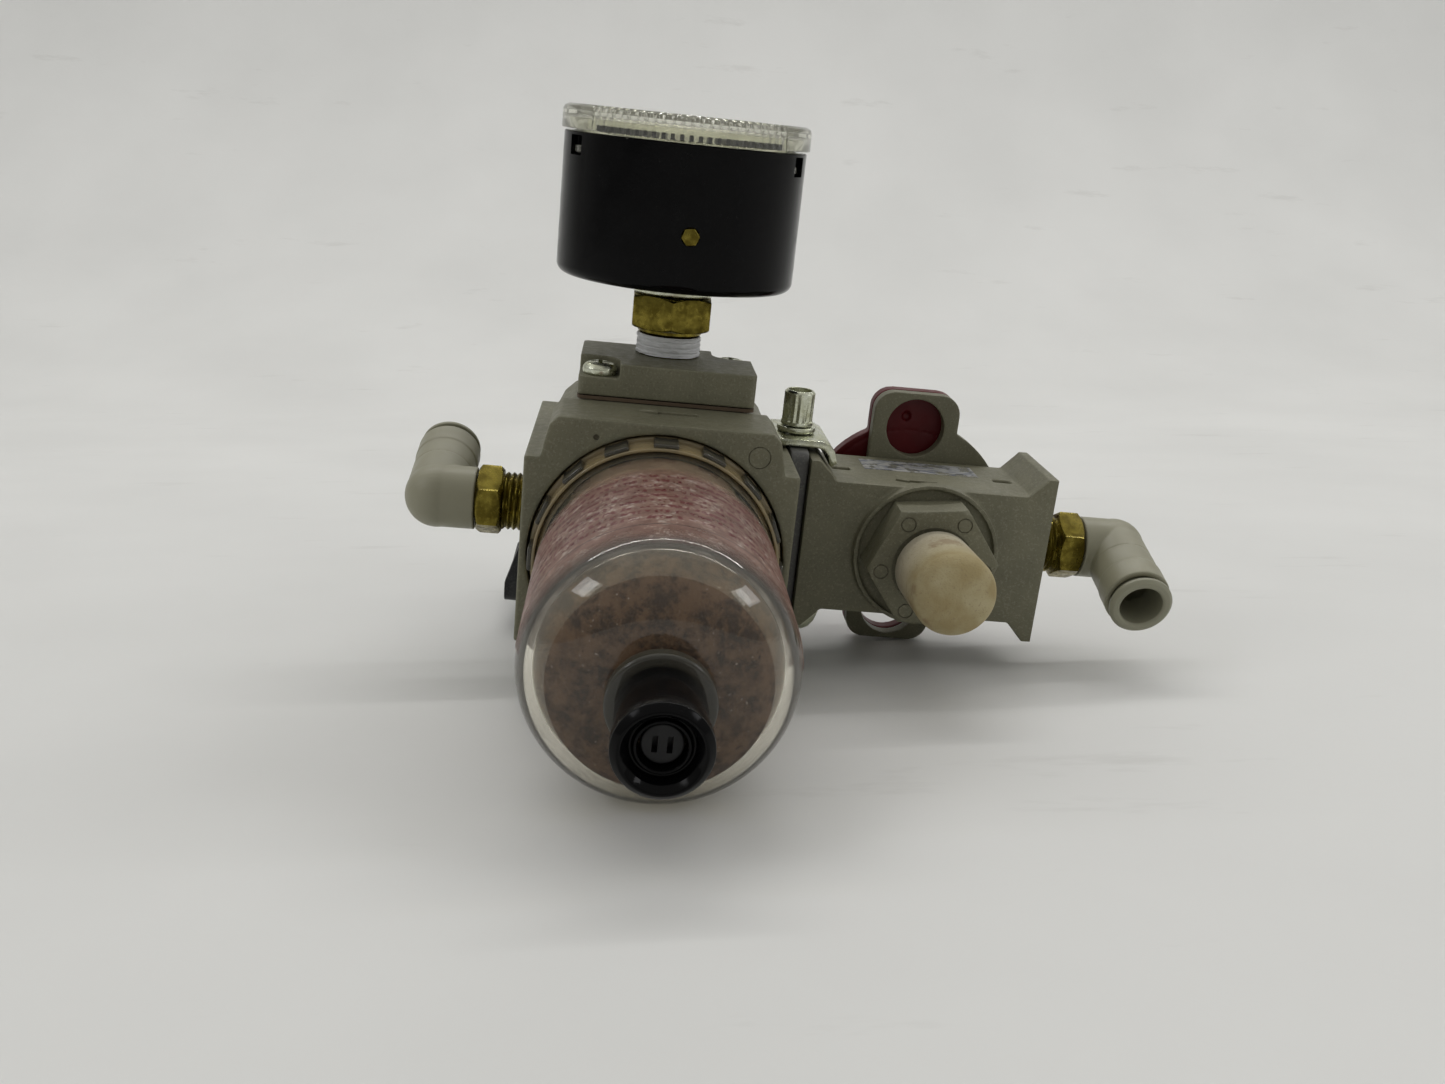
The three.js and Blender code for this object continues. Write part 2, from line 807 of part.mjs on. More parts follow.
function bourdonTube() {
  const ring = turnedZ(tube(11.6, 13, 42.4, 48.4), FINE);
  const opening = outlineShape([
    [0, 0],
    [14, -14],
    [20, 0],
    [14, 14],
  ]);
  const arc = cut(ring, prismZ(opening, 40, 50));
  const link = box(-12.4, -3.9, -1.2, 1.2, 40.2, 42);
  return join(arc, link, box(-13, -11.6, -1.2, 1.2, 40.2, 43));
}

function caseScrew() {
  const outside = -CASE_RADIUS;
  const head = prismY(hexShape(2.1), outside - 0.9, outside - 0.3);
  const thread = rodY(1.05, outside - 0.4, outside + 1.8, 0, 0, 16);
  return join(head, thread).translate([CASE_SCREW.x, 0, CASE_SCREW.z]);
}

function buildGauge() {
  const gauge = new THREE.Group();
  gauge.position.y = GAUGE_Y;
  gauge.add(
    part("gauge_stem", gaugeStem(), BRASS),
    part("thread_tape", threadTape(), WHITE),
    part("gauge_washer", gaugeWasher(), ZINC),
    part("gauge_case", gaugeCase(), BLACK),
    part("gauge_case_screw", caseScrew(), BRASS),
    part("gauge_dial", turnedZ(tube(1.6, CASE_RADIUS - 1.7, DIAL_Z, DIAL_Z + 0.6)), WHITE),
    part("gauge_pointer", gaugePointer(), BLACK),
    part("gauge_movement", gaugeMovement(), BRASS),
    part("bourdon_tube", bourdonTube(), BRASS),
    part("gauge_lens", gaugeLens(), CLEAR),
  );
  return gauge;
}

function buildAdapter() {
  const adapter = new THREE.Group();
  adapter.add(
    part("gauge_adapter", gaugeAdapter(), CAST_GREY),
    part("adapter_gasket", adapterGasket(), RUBBER),
  );
  adapterScrewPlaces().forEach(([x, y], i) => {
    const screw = part("adapter_screw_" + (i + 1), panScrew(2.6, 1.7, 1.4, 7.6), ZINC);
    screw.position.set(x, y, ADAPTER.z1 - 2.2 + THIN_GAP);
    adapter.add(screw);
  });
  return adapter;
}

// ---- clamp between the two bodies ----
function spacerBody() {
  const half = SPACER / 2 - THIN_GAP;
  return cut(
    prismX(roundedShape(9.8, SPACER_REACH, 1.5), -half, half),
    rodX(7.4, -3, 3, 0, 0, MEDIUM),
    rodZ(1.1, 8.4, 18, 0, CLAMP_SCREW_Y, 12),
    rodZ(1.1, -18, -8.4, 0, CLAMP_SCREW_Y, 12),
  );
}

function spacerSeal() {
  const half = SPACER / 2 - THIN_GAP;
  return turnedX(tube(4.6, 7.1, -half, half), MEDIUM);
}

// The clamp's section in x and z, measured from the middle of the spacer.
function clampSection() {
  const left = BODY_WAIST - JOINT_X + GAP;
  const under = SPACER_REACH + GAP;
  const top = CLAMP_TOP;
  return outlineShape([
    [left, top - 0.4],
    [left, 12.8],
    [left + 1, 14.2],
    [left + 1, under],
    [3.3, under],
    [3.3, 13.8],
    [5.4, 11.8],
    [6.4, 12.4],
    [5.4, 14.8],
    [4.4, top],
    [left + 0.4, top],
  ]);
}

function clampRetainer() {
  return cut(prismY(clampSection(), -7, 7), rodZ(1.4, 10, 20, 0, CLAMP_SCREW_Y, 12));
}

// A socket-head screw along +Z, its head's underside at z = 0.
function clampScrew(height) {
  const flutes = 24;
  const depth = 0.12;
  const points = [];
  for (let i = 0; i < flutes; i += 1) {
    const radius = i % 2 ? 2.65 : 2.65 - depth * 2;
    const angle = (i * 2 * Math.PI) / flutes;
    points.push([radius * Math.cos(angle), radius * Math.sin(angle)]);
  }
  const head = prismZ(outlineShape(points), 0, height);
  const shank = rodZ(0.95, -7, 0.5, 0, 0, 12);
  return cut(join(head, shank), prismZ(hexShape(2.5), height - 2, height + 1));
}

function clampWasher() {
  const under = CLAMP_TOP + THIN_GAP;
  return turnedZ(tube(1.3, 3.1, under, under + WASHER), COARSE).translate([0, CLAMP_SCREW_Y, 0]);
}

function buildClamp() {
  const clamp = new THREE.Group();
  clamp.position.x = JOINT_X;
  const front = part("clamp_screw", clampScrew(5.6), ZINC);
  front.position.set(0, CLAMP_SCREW_Y, CLAMP_TOP + WASHER + 2 * THIN_GAP);
  const rear = part("clamp_screw_rear", clampScrew(3), ZINC);
  rear.position.set(0, CLAMP_SCREW_Y, -CLAMP_TOP - THIN_GAP);
  rear.rotation.x = Math.PI;
  const retainer = part("clamp_rear", clampRetainer().mirror([0, 0, 1]), ZINC);
  clamp.add(
    part("spacer_body", spacerBody(), SPACER_GREY),
    part("spacer_seal", spacerSeal(), RUBBER),
    part("clamp_front", clampRetainer(), ZINC),
    retainer,
    part("clamp_washer", clampWasher(), ZINC),
    front,
    rear,
  );
  return clamp;
}

// ---- shut-off valve ----
function valveSection() {
  const outer = VALVE_HALF;
  const half = [
    [outer, VALVE_RIDGE],
    [outer - 1.5, VALVE_RIDGE],
    [outer - 4.2, VALVE_CORE],
  ];
  const upper = [...half, ...half.map(([x, z]) => [-x, z]).reverse()];
  return outlineShape([...upper, ...upper.map(([x, z]) => [x, -z]).reverse()]);
}

function valveBody() {
  const slotCuts = [-13.5, 13.2].map((x) => box(x - 1.5, x + 1.5, -2.5, -1.4, VALVE_CORE - 1, 14));
  const arrow = flowArrow().scale([0.7, 0.7, 1]);
  return cut(
    join(
      prismY(valveSection(), VALVE_NEAR, VALVE_FAR),
      rodY(11.6, VALVE_NEAR - 1.4, VALVE_NEAR + 1, 0, 0, FINE),
      arrow.translate([-2, -7.8, VALVE_CORE]),
    ),
    rodY(10.9, VALVE_NEAR - 2, -9.5, 0, 0, FINE),
    rodY(VALVE_BORE, -10, VALVE_FAR + 1, 0, 0, MEDIUM),
    rodX(4.5, -VALVE_HALF - 1, -6, 0, 0, MEDIUM),
    rodX(PORT_BORE, 10.5, VALVE_HALF + 1, 0, 0, MEDIUM),
    rodX(3.4, 6, 11, 0, 0),
    ...slotCuts,
  );
}

function quarterDisc(radius) {
  const shape = new THREE.Shape();
  shape.moveTo(0, 0);
  shape.lineTo(radius, 0);
  shape.absarc(0, 0, radius, 0, Math.PI / 2);
  return shape;
}

function lockBar(y0, y1) {
  return prismY(roundedShape(LOCK_HALF, LOCK_REACH, 3.4), y0, y1);
}

function valveCover() {
  const quarter = prismY(quarterDisc(17.3), 7.6, 10);
  const middle = rodY(10.6, 7.6, 10, 0, 0, FINE);
  return cut(
    join(lockBar(7.6, 10), quarter, quarter.rotate([0, 180, 0]), middle),
    rodY(4.3, 7, 11, 0, 0),
    rodY(LOCK_HOLE, 7, 11, 0, LOCK_CENTRE, MEDIUM),
    rodY(LOCK_HOLE, 7, 11, 0, -LOCK_CENTRE, MEDIUM),
  );
}

// Its lock ears have holes at both sides and below; the upper one is blind.
function valveKnob() {
  const flange = join(rodY(16.2, 10.3, 12.8, 0, 0, FINE), lockBar(10.3, 12.8));
  const ears = lockBar(10.3, 12.8).rotate([0, 90, 0]);
  const grip = prismY(roundedShape(5.6, 11, 5), 12.6, 29);
  return cut(
    join(flange, ears, grip),
    rodY(4.3, 9, 23, 0, 0),
    rodY(LOCK_HOLE, 7, 14, LOCK_CENTRE, 0, MEDIUM),
    rodY(LOCK_HOLE, 7, 14, -LOCK_CENTRE, 0, MEDIUM),
    rodY(LOCK_HOLE, 7, 14, 0, -LOCK_CENTRE, MEDIUM),
  );
}

function valveStem() {
  return turnedY(
    [
      [0, 6.2],
      [6.5, 6.2],
      [6.5, 7.1],
      [4, 7.4],
      [4, 22],
      [0, 22],
    ],
    COARSE,
  );
}

function valveSpool() {
  return turnedY(
    [
      [0, -2.6],
      [7.2, -2.6],
      [7.2, -0.6],
      [3, -0.2],
      [3, 3],
      [7.2, 3.4],
      [7.2, 5.8],
      [0, 5.8],
    ],
    MEDIUM,
  );
}

function exhaustCap() {
  const face = EXHAUST_FACE;
  const hex = prismY(hexShape(EXHAUST_FLATS), face, -9.8).intersect(
    turnedY([[0, face], [9.6, face], [10.5, face + 0.6], [10.5, -9.8], [0, -9.8]]),
  );
  return cut(
    join(hex, rodY(VALVE_BORE - GAP, -9.9, -6.4, 0, 0, MEDIUM)),
    rodY(4.6, face - 1, -10, 0, 0, MEDIUM),
    rodY(3, -11, -5, 0, 0),
  );
}

// Its shoulder is at y = 0 and its porous end points along -Y.
function silencer() {
  return turnedY(
    [
      [0, 6],
      [4, 6],
      [4, 0],
      [SILENCER_RADIUS, 0],
      [SILENCER_RADIUS + 0.1, -12],
      [SILENCER_RADIUS - 0.4, -13.3],
      [SILENCER_RADIUS - 1.8, -14.2],
      [0, -14.6],
    ],
    MEDIUM,
  );
}

function buildValve() {
  const valve = new THREE.Group();
  valve.position.x = VALVE_X;
  const plug = part("silencer", silencer(), POROUS);
  plug.position.y = EXHAUST_FACE - 2 * GAP;
  plug.rotation.z = THREE.MathUtils.degToRad(SILENCER_LEAN);
  valve.add(
    part("valve_body", valveBody(), CAST_GREY),
    part("valve_cover", valveCover(), CAST_GREY),
    part("valve_knob", valveKnob(), RED),
    part("valve_stem", valveStem(), STEEL),
    part("valve_spool", valveSpool(), BRASS),
    part("exhaust_cap", exhaustCap(), CAST_GREY),
    plug,
  );
  return valve;
}

// ---- push-in elbows ----
// Both are drawn with the port face at x = 0, the stud along +X and the mouth towards -Y.
function studSolid() {
  const thread = rodX(THREAD - 0.1, -6.5, 4.6, 0, 0, MEDIUM);
  const hex = prismX(hexShape(STUD_FLATS, Math.PI / 6), 4.5, 8.4).intersect(
    turnedX([[0, 4.5], [5.1, 4.5], [5.8, 5.1], [5.8, 7.8], [5.1, 8.4], [0, 8.4]], MEDIUM),
  );
  const spigot = rodX(3.4, 8.3, 13, 0, 0);
  return cut(join(thread, hex, spigot), rodX(2, -7, 14, 0, 0, 12));
}

function elbowSolid() {
  const bend = new THREE.SphereGeometry(ELBOW_RADIUS, MEDIUM, 16);
  bend.rotateX(Math.PI / 2);
  const across = rodX(ELBOW_RADIUS - 0.1, 8.7, ELBOW_REACH, 0, 0, MEDIUM);
  const leg = rodY(ELBOW_RADIUS, -ELBOW_LEG, 0, ELBOW_REACH, 0, MEDIUM);
  return cut(
    join(across, leg, solid(bend).translate([ELBOW_REACH, 0, 0])),
    rodX(3.7, 8, 13.3, 0, 0),
    rodX(2, 13, ELBOW_REACH, 0, 0, 12),
    rodY(2, -7, 0, ELBOW_REACH, 0, 12),
    rodY(4.3, -ELBOW_LEG - 1, -6, ELBOW_REACH, 0, MEDIUM),
  );
}

function releaseButton() {
  const mouth = -ELBOW_LEG - 1.1;
  return turnedY(
    [
      [TUBE_BORE, mouth + 5.6],
      [TUBE_BORE, mouth - 1.2],
      [ELBOW_RADIUS - 0.5, mouth - 1.2],
      [ELBOW_RADIUS - 0.2, mouth - 0.9],
      [ELBOW_RADIUS - 0.2, mouth],
      [4, mouth],
      [4, mouth + 5.6],
    ],
    MEDIUM,
  ).translate([ELBOW_REACH, 0, 0]);
}

function buildElbow(name, portFace, turn, tilt) {
  const elbow = new THREE.Group();
  elbow.position.x = portFace;
  elbow.rotation.z = turn;
  const swivel = new THREE.Group();
  swivel.rotation.x = THREE.MathUtils.degToRad(tilt);
  swivel.add(
    part(name + "_elbow", elbowSolid(), ELBOW_GREY),
    part(name + "_release_button", releaseButton(), BUTTON_GREY),
  );
  elbow.add(part(name + "_stud", studSolid(), BRASS), swivel);
  return elbow;
}

// ---- the whole object ----
const regulatorUnit = new THREE.Group();
regulatorUnit.add(
  buildRegulator(),
  buildAdapter(),
  buildGauge(),
  buildClamp(),
  buildValve(),
  buildElbow("inlet", VALVE_X + VALVE_HALF, 0, INLET_TILT),
  buildElbow("outlet", -BODY_HALF, Math.PI, -OUTLET_TILT),
);

// The whole stands on the bracket, with its box centred on the frame's axes.
const bounds = new THREE.Box3().setFromObject(regulatorUnit, true);
const middle = bounds.getCenter(new THREE.Vector3());
regulatorUnit.position.set(-middle.x, -middle.y, -bounds.min.z);

export default regulatorUnit;
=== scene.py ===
from math import cos, degrees as in_degrees, pi, radians, sin, sqrt, tan

import bmesh
import bpy
from mathutils import Matrix, Vector, noise


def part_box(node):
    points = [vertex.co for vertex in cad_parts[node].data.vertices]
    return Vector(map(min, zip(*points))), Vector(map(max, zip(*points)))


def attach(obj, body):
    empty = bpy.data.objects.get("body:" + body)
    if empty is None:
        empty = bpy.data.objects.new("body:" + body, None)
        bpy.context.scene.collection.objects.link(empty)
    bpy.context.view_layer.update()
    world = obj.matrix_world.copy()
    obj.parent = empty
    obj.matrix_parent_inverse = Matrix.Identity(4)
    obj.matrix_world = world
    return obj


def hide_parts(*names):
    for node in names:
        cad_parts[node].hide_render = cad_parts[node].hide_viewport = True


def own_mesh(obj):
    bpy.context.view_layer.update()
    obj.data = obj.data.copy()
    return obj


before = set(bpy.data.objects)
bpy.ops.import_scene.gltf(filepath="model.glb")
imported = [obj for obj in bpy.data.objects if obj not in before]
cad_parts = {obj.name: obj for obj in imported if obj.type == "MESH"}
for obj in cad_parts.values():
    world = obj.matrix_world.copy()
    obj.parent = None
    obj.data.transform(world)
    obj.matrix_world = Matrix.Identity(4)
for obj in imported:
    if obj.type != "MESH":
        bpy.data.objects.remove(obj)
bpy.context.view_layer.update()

# Looks of an air pressure regulator. Shapes are drawn in millimetres about the middle of the
# regulator's ports: x along the air line, y from the drain to the knob, z from the bracket to the
# gauge. place() takes them into the frame, in metres.

MM = 0.001
NEARLY_STRAIGHT = radians(168)


def middle(node):
    low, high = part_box(node)
    return (low + high) / 2


PORTS_TO_SEAT = 14  # from the ports' middle to the regulator body's far face
ORIGIN = Vector((
    middle("drain_knob").x,
    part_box("regulator_body")[1].y - PORTS_TO_SEAT * MM,
    middle("drain_knob").z,
))
TO_FRAME = Matrix.Translation(ORIGIN) @ Matrix.Scale(MM, 4)


def span(node, axis):
    """A CAD node's lowest and highest place along an axis, in millimetres from the ports' middle."""
    low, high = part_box(node)
    i = "xyz".index(axis)
    return (low[i] - ORIGIN[i]) / MM, (high[i] - ORIGIN[i]) / MM


def centre_of(node, axis):
    return sum(span(node, axis)) / 2


def half_width(node, axis):
    low, high = span(node, axis)
    return (high - low) / 2


VALVE_X = centre_of("valve_knob", "x")
VALVE_AXIS = (VALVE_X, 0)
JOINT_X = centre_of("clamp_washer", "x")
GAUGE_Y = centre_of("gauge_washer", "y")
GAUGE_AXIS = (0, GAUGE_Y)
GAUGE_CENTRE = (0, GAUGE_Y, 0)
INLET_FACE = span("valve_body", "x")[1]
OUTLET_FACE = -20
CASE_FLOOR, CASE_RIM = span("gauge_case", "z")
CASE_RADIUS = half_width("gauge_case", "x")
LENS_TOP = span("gauge_lens", "z")[1]
LENS_RADIUS = half_width("gauge_lens", "x")
DIAL_TOP = span("gauge_dial", "z")[1]
DRAIN_END = span("drain_knob", "y")[0]
BOWL_END = span("bowl", "y")[0]


# ---- meshes ----
def linked(name, data):
    """A new object in the scene that shows a mesh, curve, lamp or camera."""
    obj = bpy.data.objects.new(name, data)
    bpy.context.scene.collection.objects.link(obj)
    return obj


def new_object(name, vertices, faces):
    mesh = bpy.data.meshes.new(name)
    mesh.from_pydata([tuple(v) for v in vertices], [], faces)
    bm = bmesh.new()
    bm.from_mesh(mesh)
    bmesh.ops.remove_doubles(bm, verts=bm.verts, dist=1e-4)
    bmesh.ops.dissolve_degenerate(bm, dist=1e-5, edges=bm.edges)
    bmesh.ops.recalc_face_normals(bm, faces=bm.faces)
    bm.to_mesh(mesh)
    bm.free()
    return linked(name, mesh)


def final_mesh(obj):
    """The object's mesh with its modifiers applied."""
    return bpy.data.meshes.new_from_object(obj.evaluated_get(bpy.context.evaluated_depsgraph_get()))


def meshed(name, curve):
    """A curve or a text turned into an object with a mesh."""
    drawn = linked(name, curve)
    mesh = final_mesh(drawn)
    bpy.data.objects.remove(drawn)
    return linked(name, mesh)


def settled(obj):
    mesh = final_mesh(obj)
    obj.modifiers.clear()
    obj.data = mesh
    return obj


def softened(outline, radius=0.25, steps=3):
    """A closed outline with its corners rounded, apart from those on the axis."""
    result = []
    count = len(outline)
    for i, (u, v) in enumerate(outline):
        here = Vector((u, v))
        back = Vector(outline[i - 1]) - here
        ahead = Vector(outline[(i + 1) % count]) - here
        if abs(u) < 1e-6 or back.length < 1e-6 or ahead.length < 1e-6:
            result.append((u, v))
            continue
        opening = back.angle(ahead)
        if opening > NEARLY_STRAIGHT:
            result.append((u, v))
            continue
        reach = min(radius / tan(opening / 2), back.length * 0.45, ahead.length * 0.45)
        first = here + back.normalized() * reach
        last = here + ahead.normalized() * reach
        for k in range(steps + 1):
            t = k / steps
            point = first * (1 - t) ** 2 + here * 2 * t * (1 - t) + last * t * t
            result.append((point.x, point.y))
    return result


def oriented(axis, across, up, along):
    return {"x": (along, across, up), "y": (across, along, up), "z": (across, up, along)}[axis]


def turned(outline, axis="y", at=(0, 0), segments=96, swell=None):
    """A closed outline of (radius, along) turned about an axis through the point at."""
    vertices = []
    faces = []
    count = len(outline)
    for i in range(segments):
        angle = 2 * pi * i / segments
        for radius, along in outline:
            if swell and radius > 1e-6:
                radius += swell(angle, radius, along)
            across = at[0] + radius * cos(angle)
            up = at[1] + radius * sin(angle)
            vertices.append(oriented(axis, across, up, along))
        for k in range(count):
            after = (k + 1) % count
            if outline[k][0] < 1e-6 and outline[after][0] < 1e-6:
                continue
            here, there = i * count, ((i + 1) % segments) * count
            faces.append((here + k, here + after, there + after, there + k))
    return new_object("turned", vertices, faces)


def rod(radius, low, high, axis="y", at=(0, 0), segments=64, edge=0.0):
    outline = [(0, low), (radius, low), (radius, high), (0, high)]
    if edge:
        outline = softened(outline, edge)
    return turned(outline, axis, at, segments)


def ring(inner, outer, low, high, axis="y", at=(0, 0), segments=96, edge=0.2):
    outline = [(inner, low), (outer, low), (outer, high), (inner, high)]
    return turned(softened(outline, edge) if edge else outline, axis, at, segments)


def prism(outline, axis, low, high, edge=0.0):
    """A closed outline drawn out along an axis, with its edges rounded."""
    count = len(outline)
    vertices = [oriented(axis, u, v, low) for u, v in outline]
    vertices += [oriented(axis, u, v, high) for u, v in outline]
    faces = [tuple(range(count)), tuple(range(2 * count - 1, count - 1, -1))]
    for i in range(count):
        after = (i + 1) % count
        faces.append((i, after, count + after, count + i))
    obj = new_object("prism", vertices, faces)
    return bevelled(obj, edge) if edge else obj


def bevelled(obj, width, segments=3, angle=35):
    bevel = obj.modifiers.new("edges", "BEVEL")
    bevel.width = width
    bevel.segments = segments
    bevel.limit_method = "ANGLE"
    bevel.angle_limit = radians(angle)
    bevel.use_clamp_overlap = False
    bevel.miter_outer = "MITER_ARC"
    return settled(obj)


def block(x0, x1, y0, y1, z0, z1, edge=0.0):
    return prism([(x0, z0), (x1, z0), (x1, z1), (x0, z1)], "y", y0, y1, edge)


def combined(obj, others, operation):
    for other in others:
        boolean = obj.modifiers.new("carve", "BOOLEAN")
        boolean.object = other
        boolean.operation = operation
        boolean.solver = "MANIFOLD"
    settled(obj)
    for other in others:
        bpy.data.objects.remove(other)
    return obj


def joined(obj, *others):
    return combined(obj, others, "UNION")


def carved(obj, *others):
    return combined(obj, others, "DIFFERENCE")


def trimmed(obj, *others):
    return combined(obj, others, "INTERSECT")


def cast(obj, voxel=0.3, softening=3):
    """The mesh of a casting or moulding: even small faces, with all its edges a little rounded."""
    remesh = obj.modifiers.new("even", "REMESH")
    remesh.mode = "VOXEL"
    remesh.voxel_size = voxel
    smooth = obj.modifiers.new("soft", "SMOOTH")
    smooth.factor = 0.5
    smooth.iterations = softening
    return settled(obj)


def gathered(name, objects):
    """One object holding the meshes of several."""
    bm = bmesh.new()
    for obj in objects:
        bm.from_mesh(obj.data)
    mesh = bpy.data.meshes.new(name)
    bm.to_mesh(mesh)
    bm.free()
    for obj in objects:
        bpy.data.objects.remove(obj)
    return linked(name, mesh)


def moved(obj, matrix):
    obj.data.transform(matrix)
    return obj


def swung(obj, degrees, axis="Y", centre=(0, 0, 0)):
    """The shape turned about an axis through the origin, then set down with the origin at centre."""
    return moved(obj, Matrix.Translation(centre) @ Matrix.Rotation(radians(degrees), 4, axis))


def place(obj, name, look, body, slot, *nodes, angle=40):
    """Puts a finished piece into the frame, in metres, on its body."""
    obj.data.transform(TO_FRAME)
    obj.name = name
    obj.data.name = name
    for polygon in obj.data.polygons:
        polygon.use_smooth = True
    obj.data.set_sharp_from_angle(angle=radians(angle))
    if look:
        obj.data.materials.clear()
        obj.data.materials.append(look)
    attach(obj, body)
    if nodes:
        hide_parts(*nodes)
    return obj


def fixed(obj, name, look, slot, *nodes):
    """Places a piece that never moves."""
    return place(obj, name, look, "regulator", slot, *nodes)


def arc(centre, radius, start, end, steps=10):
    points = []
    for i in range(steps + 1):
        angle = radians(start + (end - start) * i / steps)
        points.append((centre[0] + radius * cos(angle), centre[1] + radius * sin(angle)))
    return points


def rounded_box(half_u, half_v, radius):
    u, v = half_u - radius, half_v - radius
    points = []
    for i, corner in enumerate(((u, v), (-u, v), (-u, -v), (u, -v))):
        points += arc(corner, radius, 90 * i, 90 * i + 90, 8)
    return points


def hexagon(flats, turn=0):
    corner = flats / sqrt(3)
    angles = [radians(turn + 60 * i) for i in range(6)]
    return [(corner * cos(a), corner * sin(a)) for a in angles]


def shifted(outline, du, dv):
    return [(u + du, v + dv) for u, v in outline]


# ---- materials ----
class Look:
    """A procedural material. Lengths are in millimetres."""

    def __init__(self, name, rough=0.5, metal=0.0):
        self.material = bpy.data.materials.new(name)
        self.material.use_nodes = True
        self.tree = self.material.node_tree
        self.shader = self.tree.nodes["Principled BSDF"]
        self.set("Roughness", rough)
        self.set("Metallic", metal)
        self.place = self.node("ShaderNodeTexCoord").outputs["Object"]

    def node(self, kind, **settings):
        made = self.tree.nodes.new(kind)
        for key, value in settings.items():
            setattr(made, key, value)
        return made

    def link(self, start, end):
        self.tree.links.new(start, end)

    def noise(self, size, detail=3.0, rough=0.5, stretch=None):
        made = self.node("ShaderNodeTexNoise")
        made.inputs["Scale"].default_value = 1 / (size * MM)
        made.inputs["Detail"].default_value = detail
        made.inputs["Roughness"].default_value = rough
        self.link(self.stretched(stretch), made.inputs["Vector"])
        return made.outputs["Fac"]

    def part(self, axis, vector=None):
        """One coordinate of the place on the piece, or of another vector."""
        made = self.node("ShaderNodeSeparateXYZ")
        self.link(vector or self.place, made.inputs[0])
        return made.outputs[axis]

    def stretched(self, stretch, vector=None):
        if stretch is None:
            return self.place
        mapping = self.node("ShaderNodeMapping")
        mapping.inputs["Scale"].default_value = stretch
        self.link(vector or self.place, mapping.inputs["Vector"])
        return mapping.outputs["Vector"]

    def step(self, value, low, high, start=0.0, end=1.0):
        made = self.node("ShaderNodeMapRange")
        made.inputs["From Min"].default_value = low
        made.inputs["From Max"].default_value = high
        made.inputs["To Min"].default_value = start
        made.inputs["To Max"].default_value = end
        self.link(value, made.inputs["Value"])
        return made.outputs["Result"]

    def patches(self, size, detail, low, high, start=0.0, end=1.0, rough=0.5, stretch=None):
        """Noise drawn apart into patches, from start to end."""
        return self.step(self.noise(size, detail, rough, stretch), low, high, start, end)

    def maths(self, operation, one, two=None):
        made = self.node("ShaderNodeMath", operation=operation)
        self.link(one, made.inputs[0])
        if isinstance(two, float):
            made.inputs[1].default_value = two
        elif two is not None:
            self.link(two, made.inputs[1])
        return made.outputs["Value"]

    def times(self, one, two):
        return self.maths("MULTIPLY", one, two)

    def band(self, value, start, full, fading, end):
        """1 between two places and 0 outside them, with soft edges."""
        return self.times(self.step(value, start, full), self.step(value, end, fading))

    def mix(self, share, one, two):
        made = self.node("ShaderNodeMix", data_type="RGBA")
        self.link(share, made.inputs["Factor"])
        for value, name in ((one, "A"), (two, "B")):
            socket = [s for s in made.inputs if s.name == name and s.type == "RGBA"][0]
            if isinstance(value, tuple):
                socket.default_value = (*value, 1)
            else:
                self.link(value, socket)
        return [s for s in made.outputs if s.type == "RGBA"][0]

    def mottled(self, size, detail, one, two):
        return self.mix(self.patches(size, detail, 0.35, 0.65), one, two)

    def over(self, base, colour, share, amount):
        """A colour laid over the base where share is 1, as strongly as amount says."""
        return self.mix(self.times(share, amount), base, colour)

    def set(self, socket, value):
        self.shader.inputs[socket].default_value = value

    def colour(self, value):
        self.link(value, self.shader.inputs["Base Color"])

    def rough(self, value):
        self.link(value, self.shader.inputs["Roughness"])

    def bump(self, height, strength, depth=0.1, after=None):
        made = self.node("ShaderNodeBump")
        made.inputs["Strength"].default_value = strength
        made.inputs["Distance"].default_value = depth * MM
        self.link(height, made.inputs["Height"])
        if after is not None:
            self.link(after, made.inputs["Normal"])
        self.link(made.outputs["Normal"], self.shader.inputs["Normal"])
        return made.outputs["Normal"]

    def pointed(self, low, high):
        """From 0 to 1 on outward edges, or in inward corners if high is below low."""
        return self.step(self.node("ShaderNodeNewGeometry").outputs["Pointiness"], low, high)


TOOL_MARKS = (1, 1, 14)  # how noise is stretched into fine lines
CLOUD_EDGE = 1.5
ROW_PITCH = 2.3  # of the worn printing on the bowl


def shaded(colour, share):
    return tuple(c * share for c in colour)


def painted_casting(name, colour, worn, dirt_and_shade, rough=0.5):
    """Die-cast metal under thin paint: fine grain, faint mottling, dirt specks, worn edges, and painted
    shade in inward corners.
    """
    look = Look(name, rough, 0.1)
    look.set("Specular IOR Level", 0.35)
    base = look.mottled(5, 4, shaded(colour, 0.86), colour)
    base = look.over(base, dirt_and_shade, look.patches(0.32, 2, 0.62, 0.74), 0.35)
    base = look.over(base, worn, look.patches(0.4, 2, 0.54, 0.66, rough=0.7), 0.3)
    # Painted shade: the dark colour laid strongly into inward corners, where shade falls.
    base = look.over(base, dirt_and_shade, look.pointed(0.47, 0.40), 0.75)
    scuff = look.times(look.pointed(0.53, 0.62), look.patches(2.2, 4, 0.42, 0.6))
    look.colour(look.over(base, worn, scuff, 0.8))
    look.rough(look.patches(1.2, 3, 0.3, 0.7, rough - 0.08, rough + 0.1))
    coarse = look.bump(look.noise(1.4, 3), 0.25, 0.06)
    look.bump(look.noise(0.38, 3, 0.7), 0.8, 0.05, coarse)
    return look.material


def moulded(name, colour, rough=0.4, grain=0.3, mottle=0.1, dust=0.0,
            dust_colour=(0.5, 0.48, 0.44), shine=0.5):
    """Moulded plastic with faint flow marks, fine grain and a little dust."""
    look = Look(name, rough)
    look.set("Specular IOR Level", shine)
    base = look.mottled(6, 3, shaded(colour, 1 - mottle), colour)
    if dust:
        base = look.over(base, dust_colour, look.patches(0.5, 3, 0.66, 0.74, rough=0.7), dust)
    look.colour(base)
    look.rough(look.patches(2.5, 4, 0.3, 0.7, rough - 0.06, rough + 0.1))
    look.bump(look.noise(grain, 2), 0.25, 0.02)
    return look.material


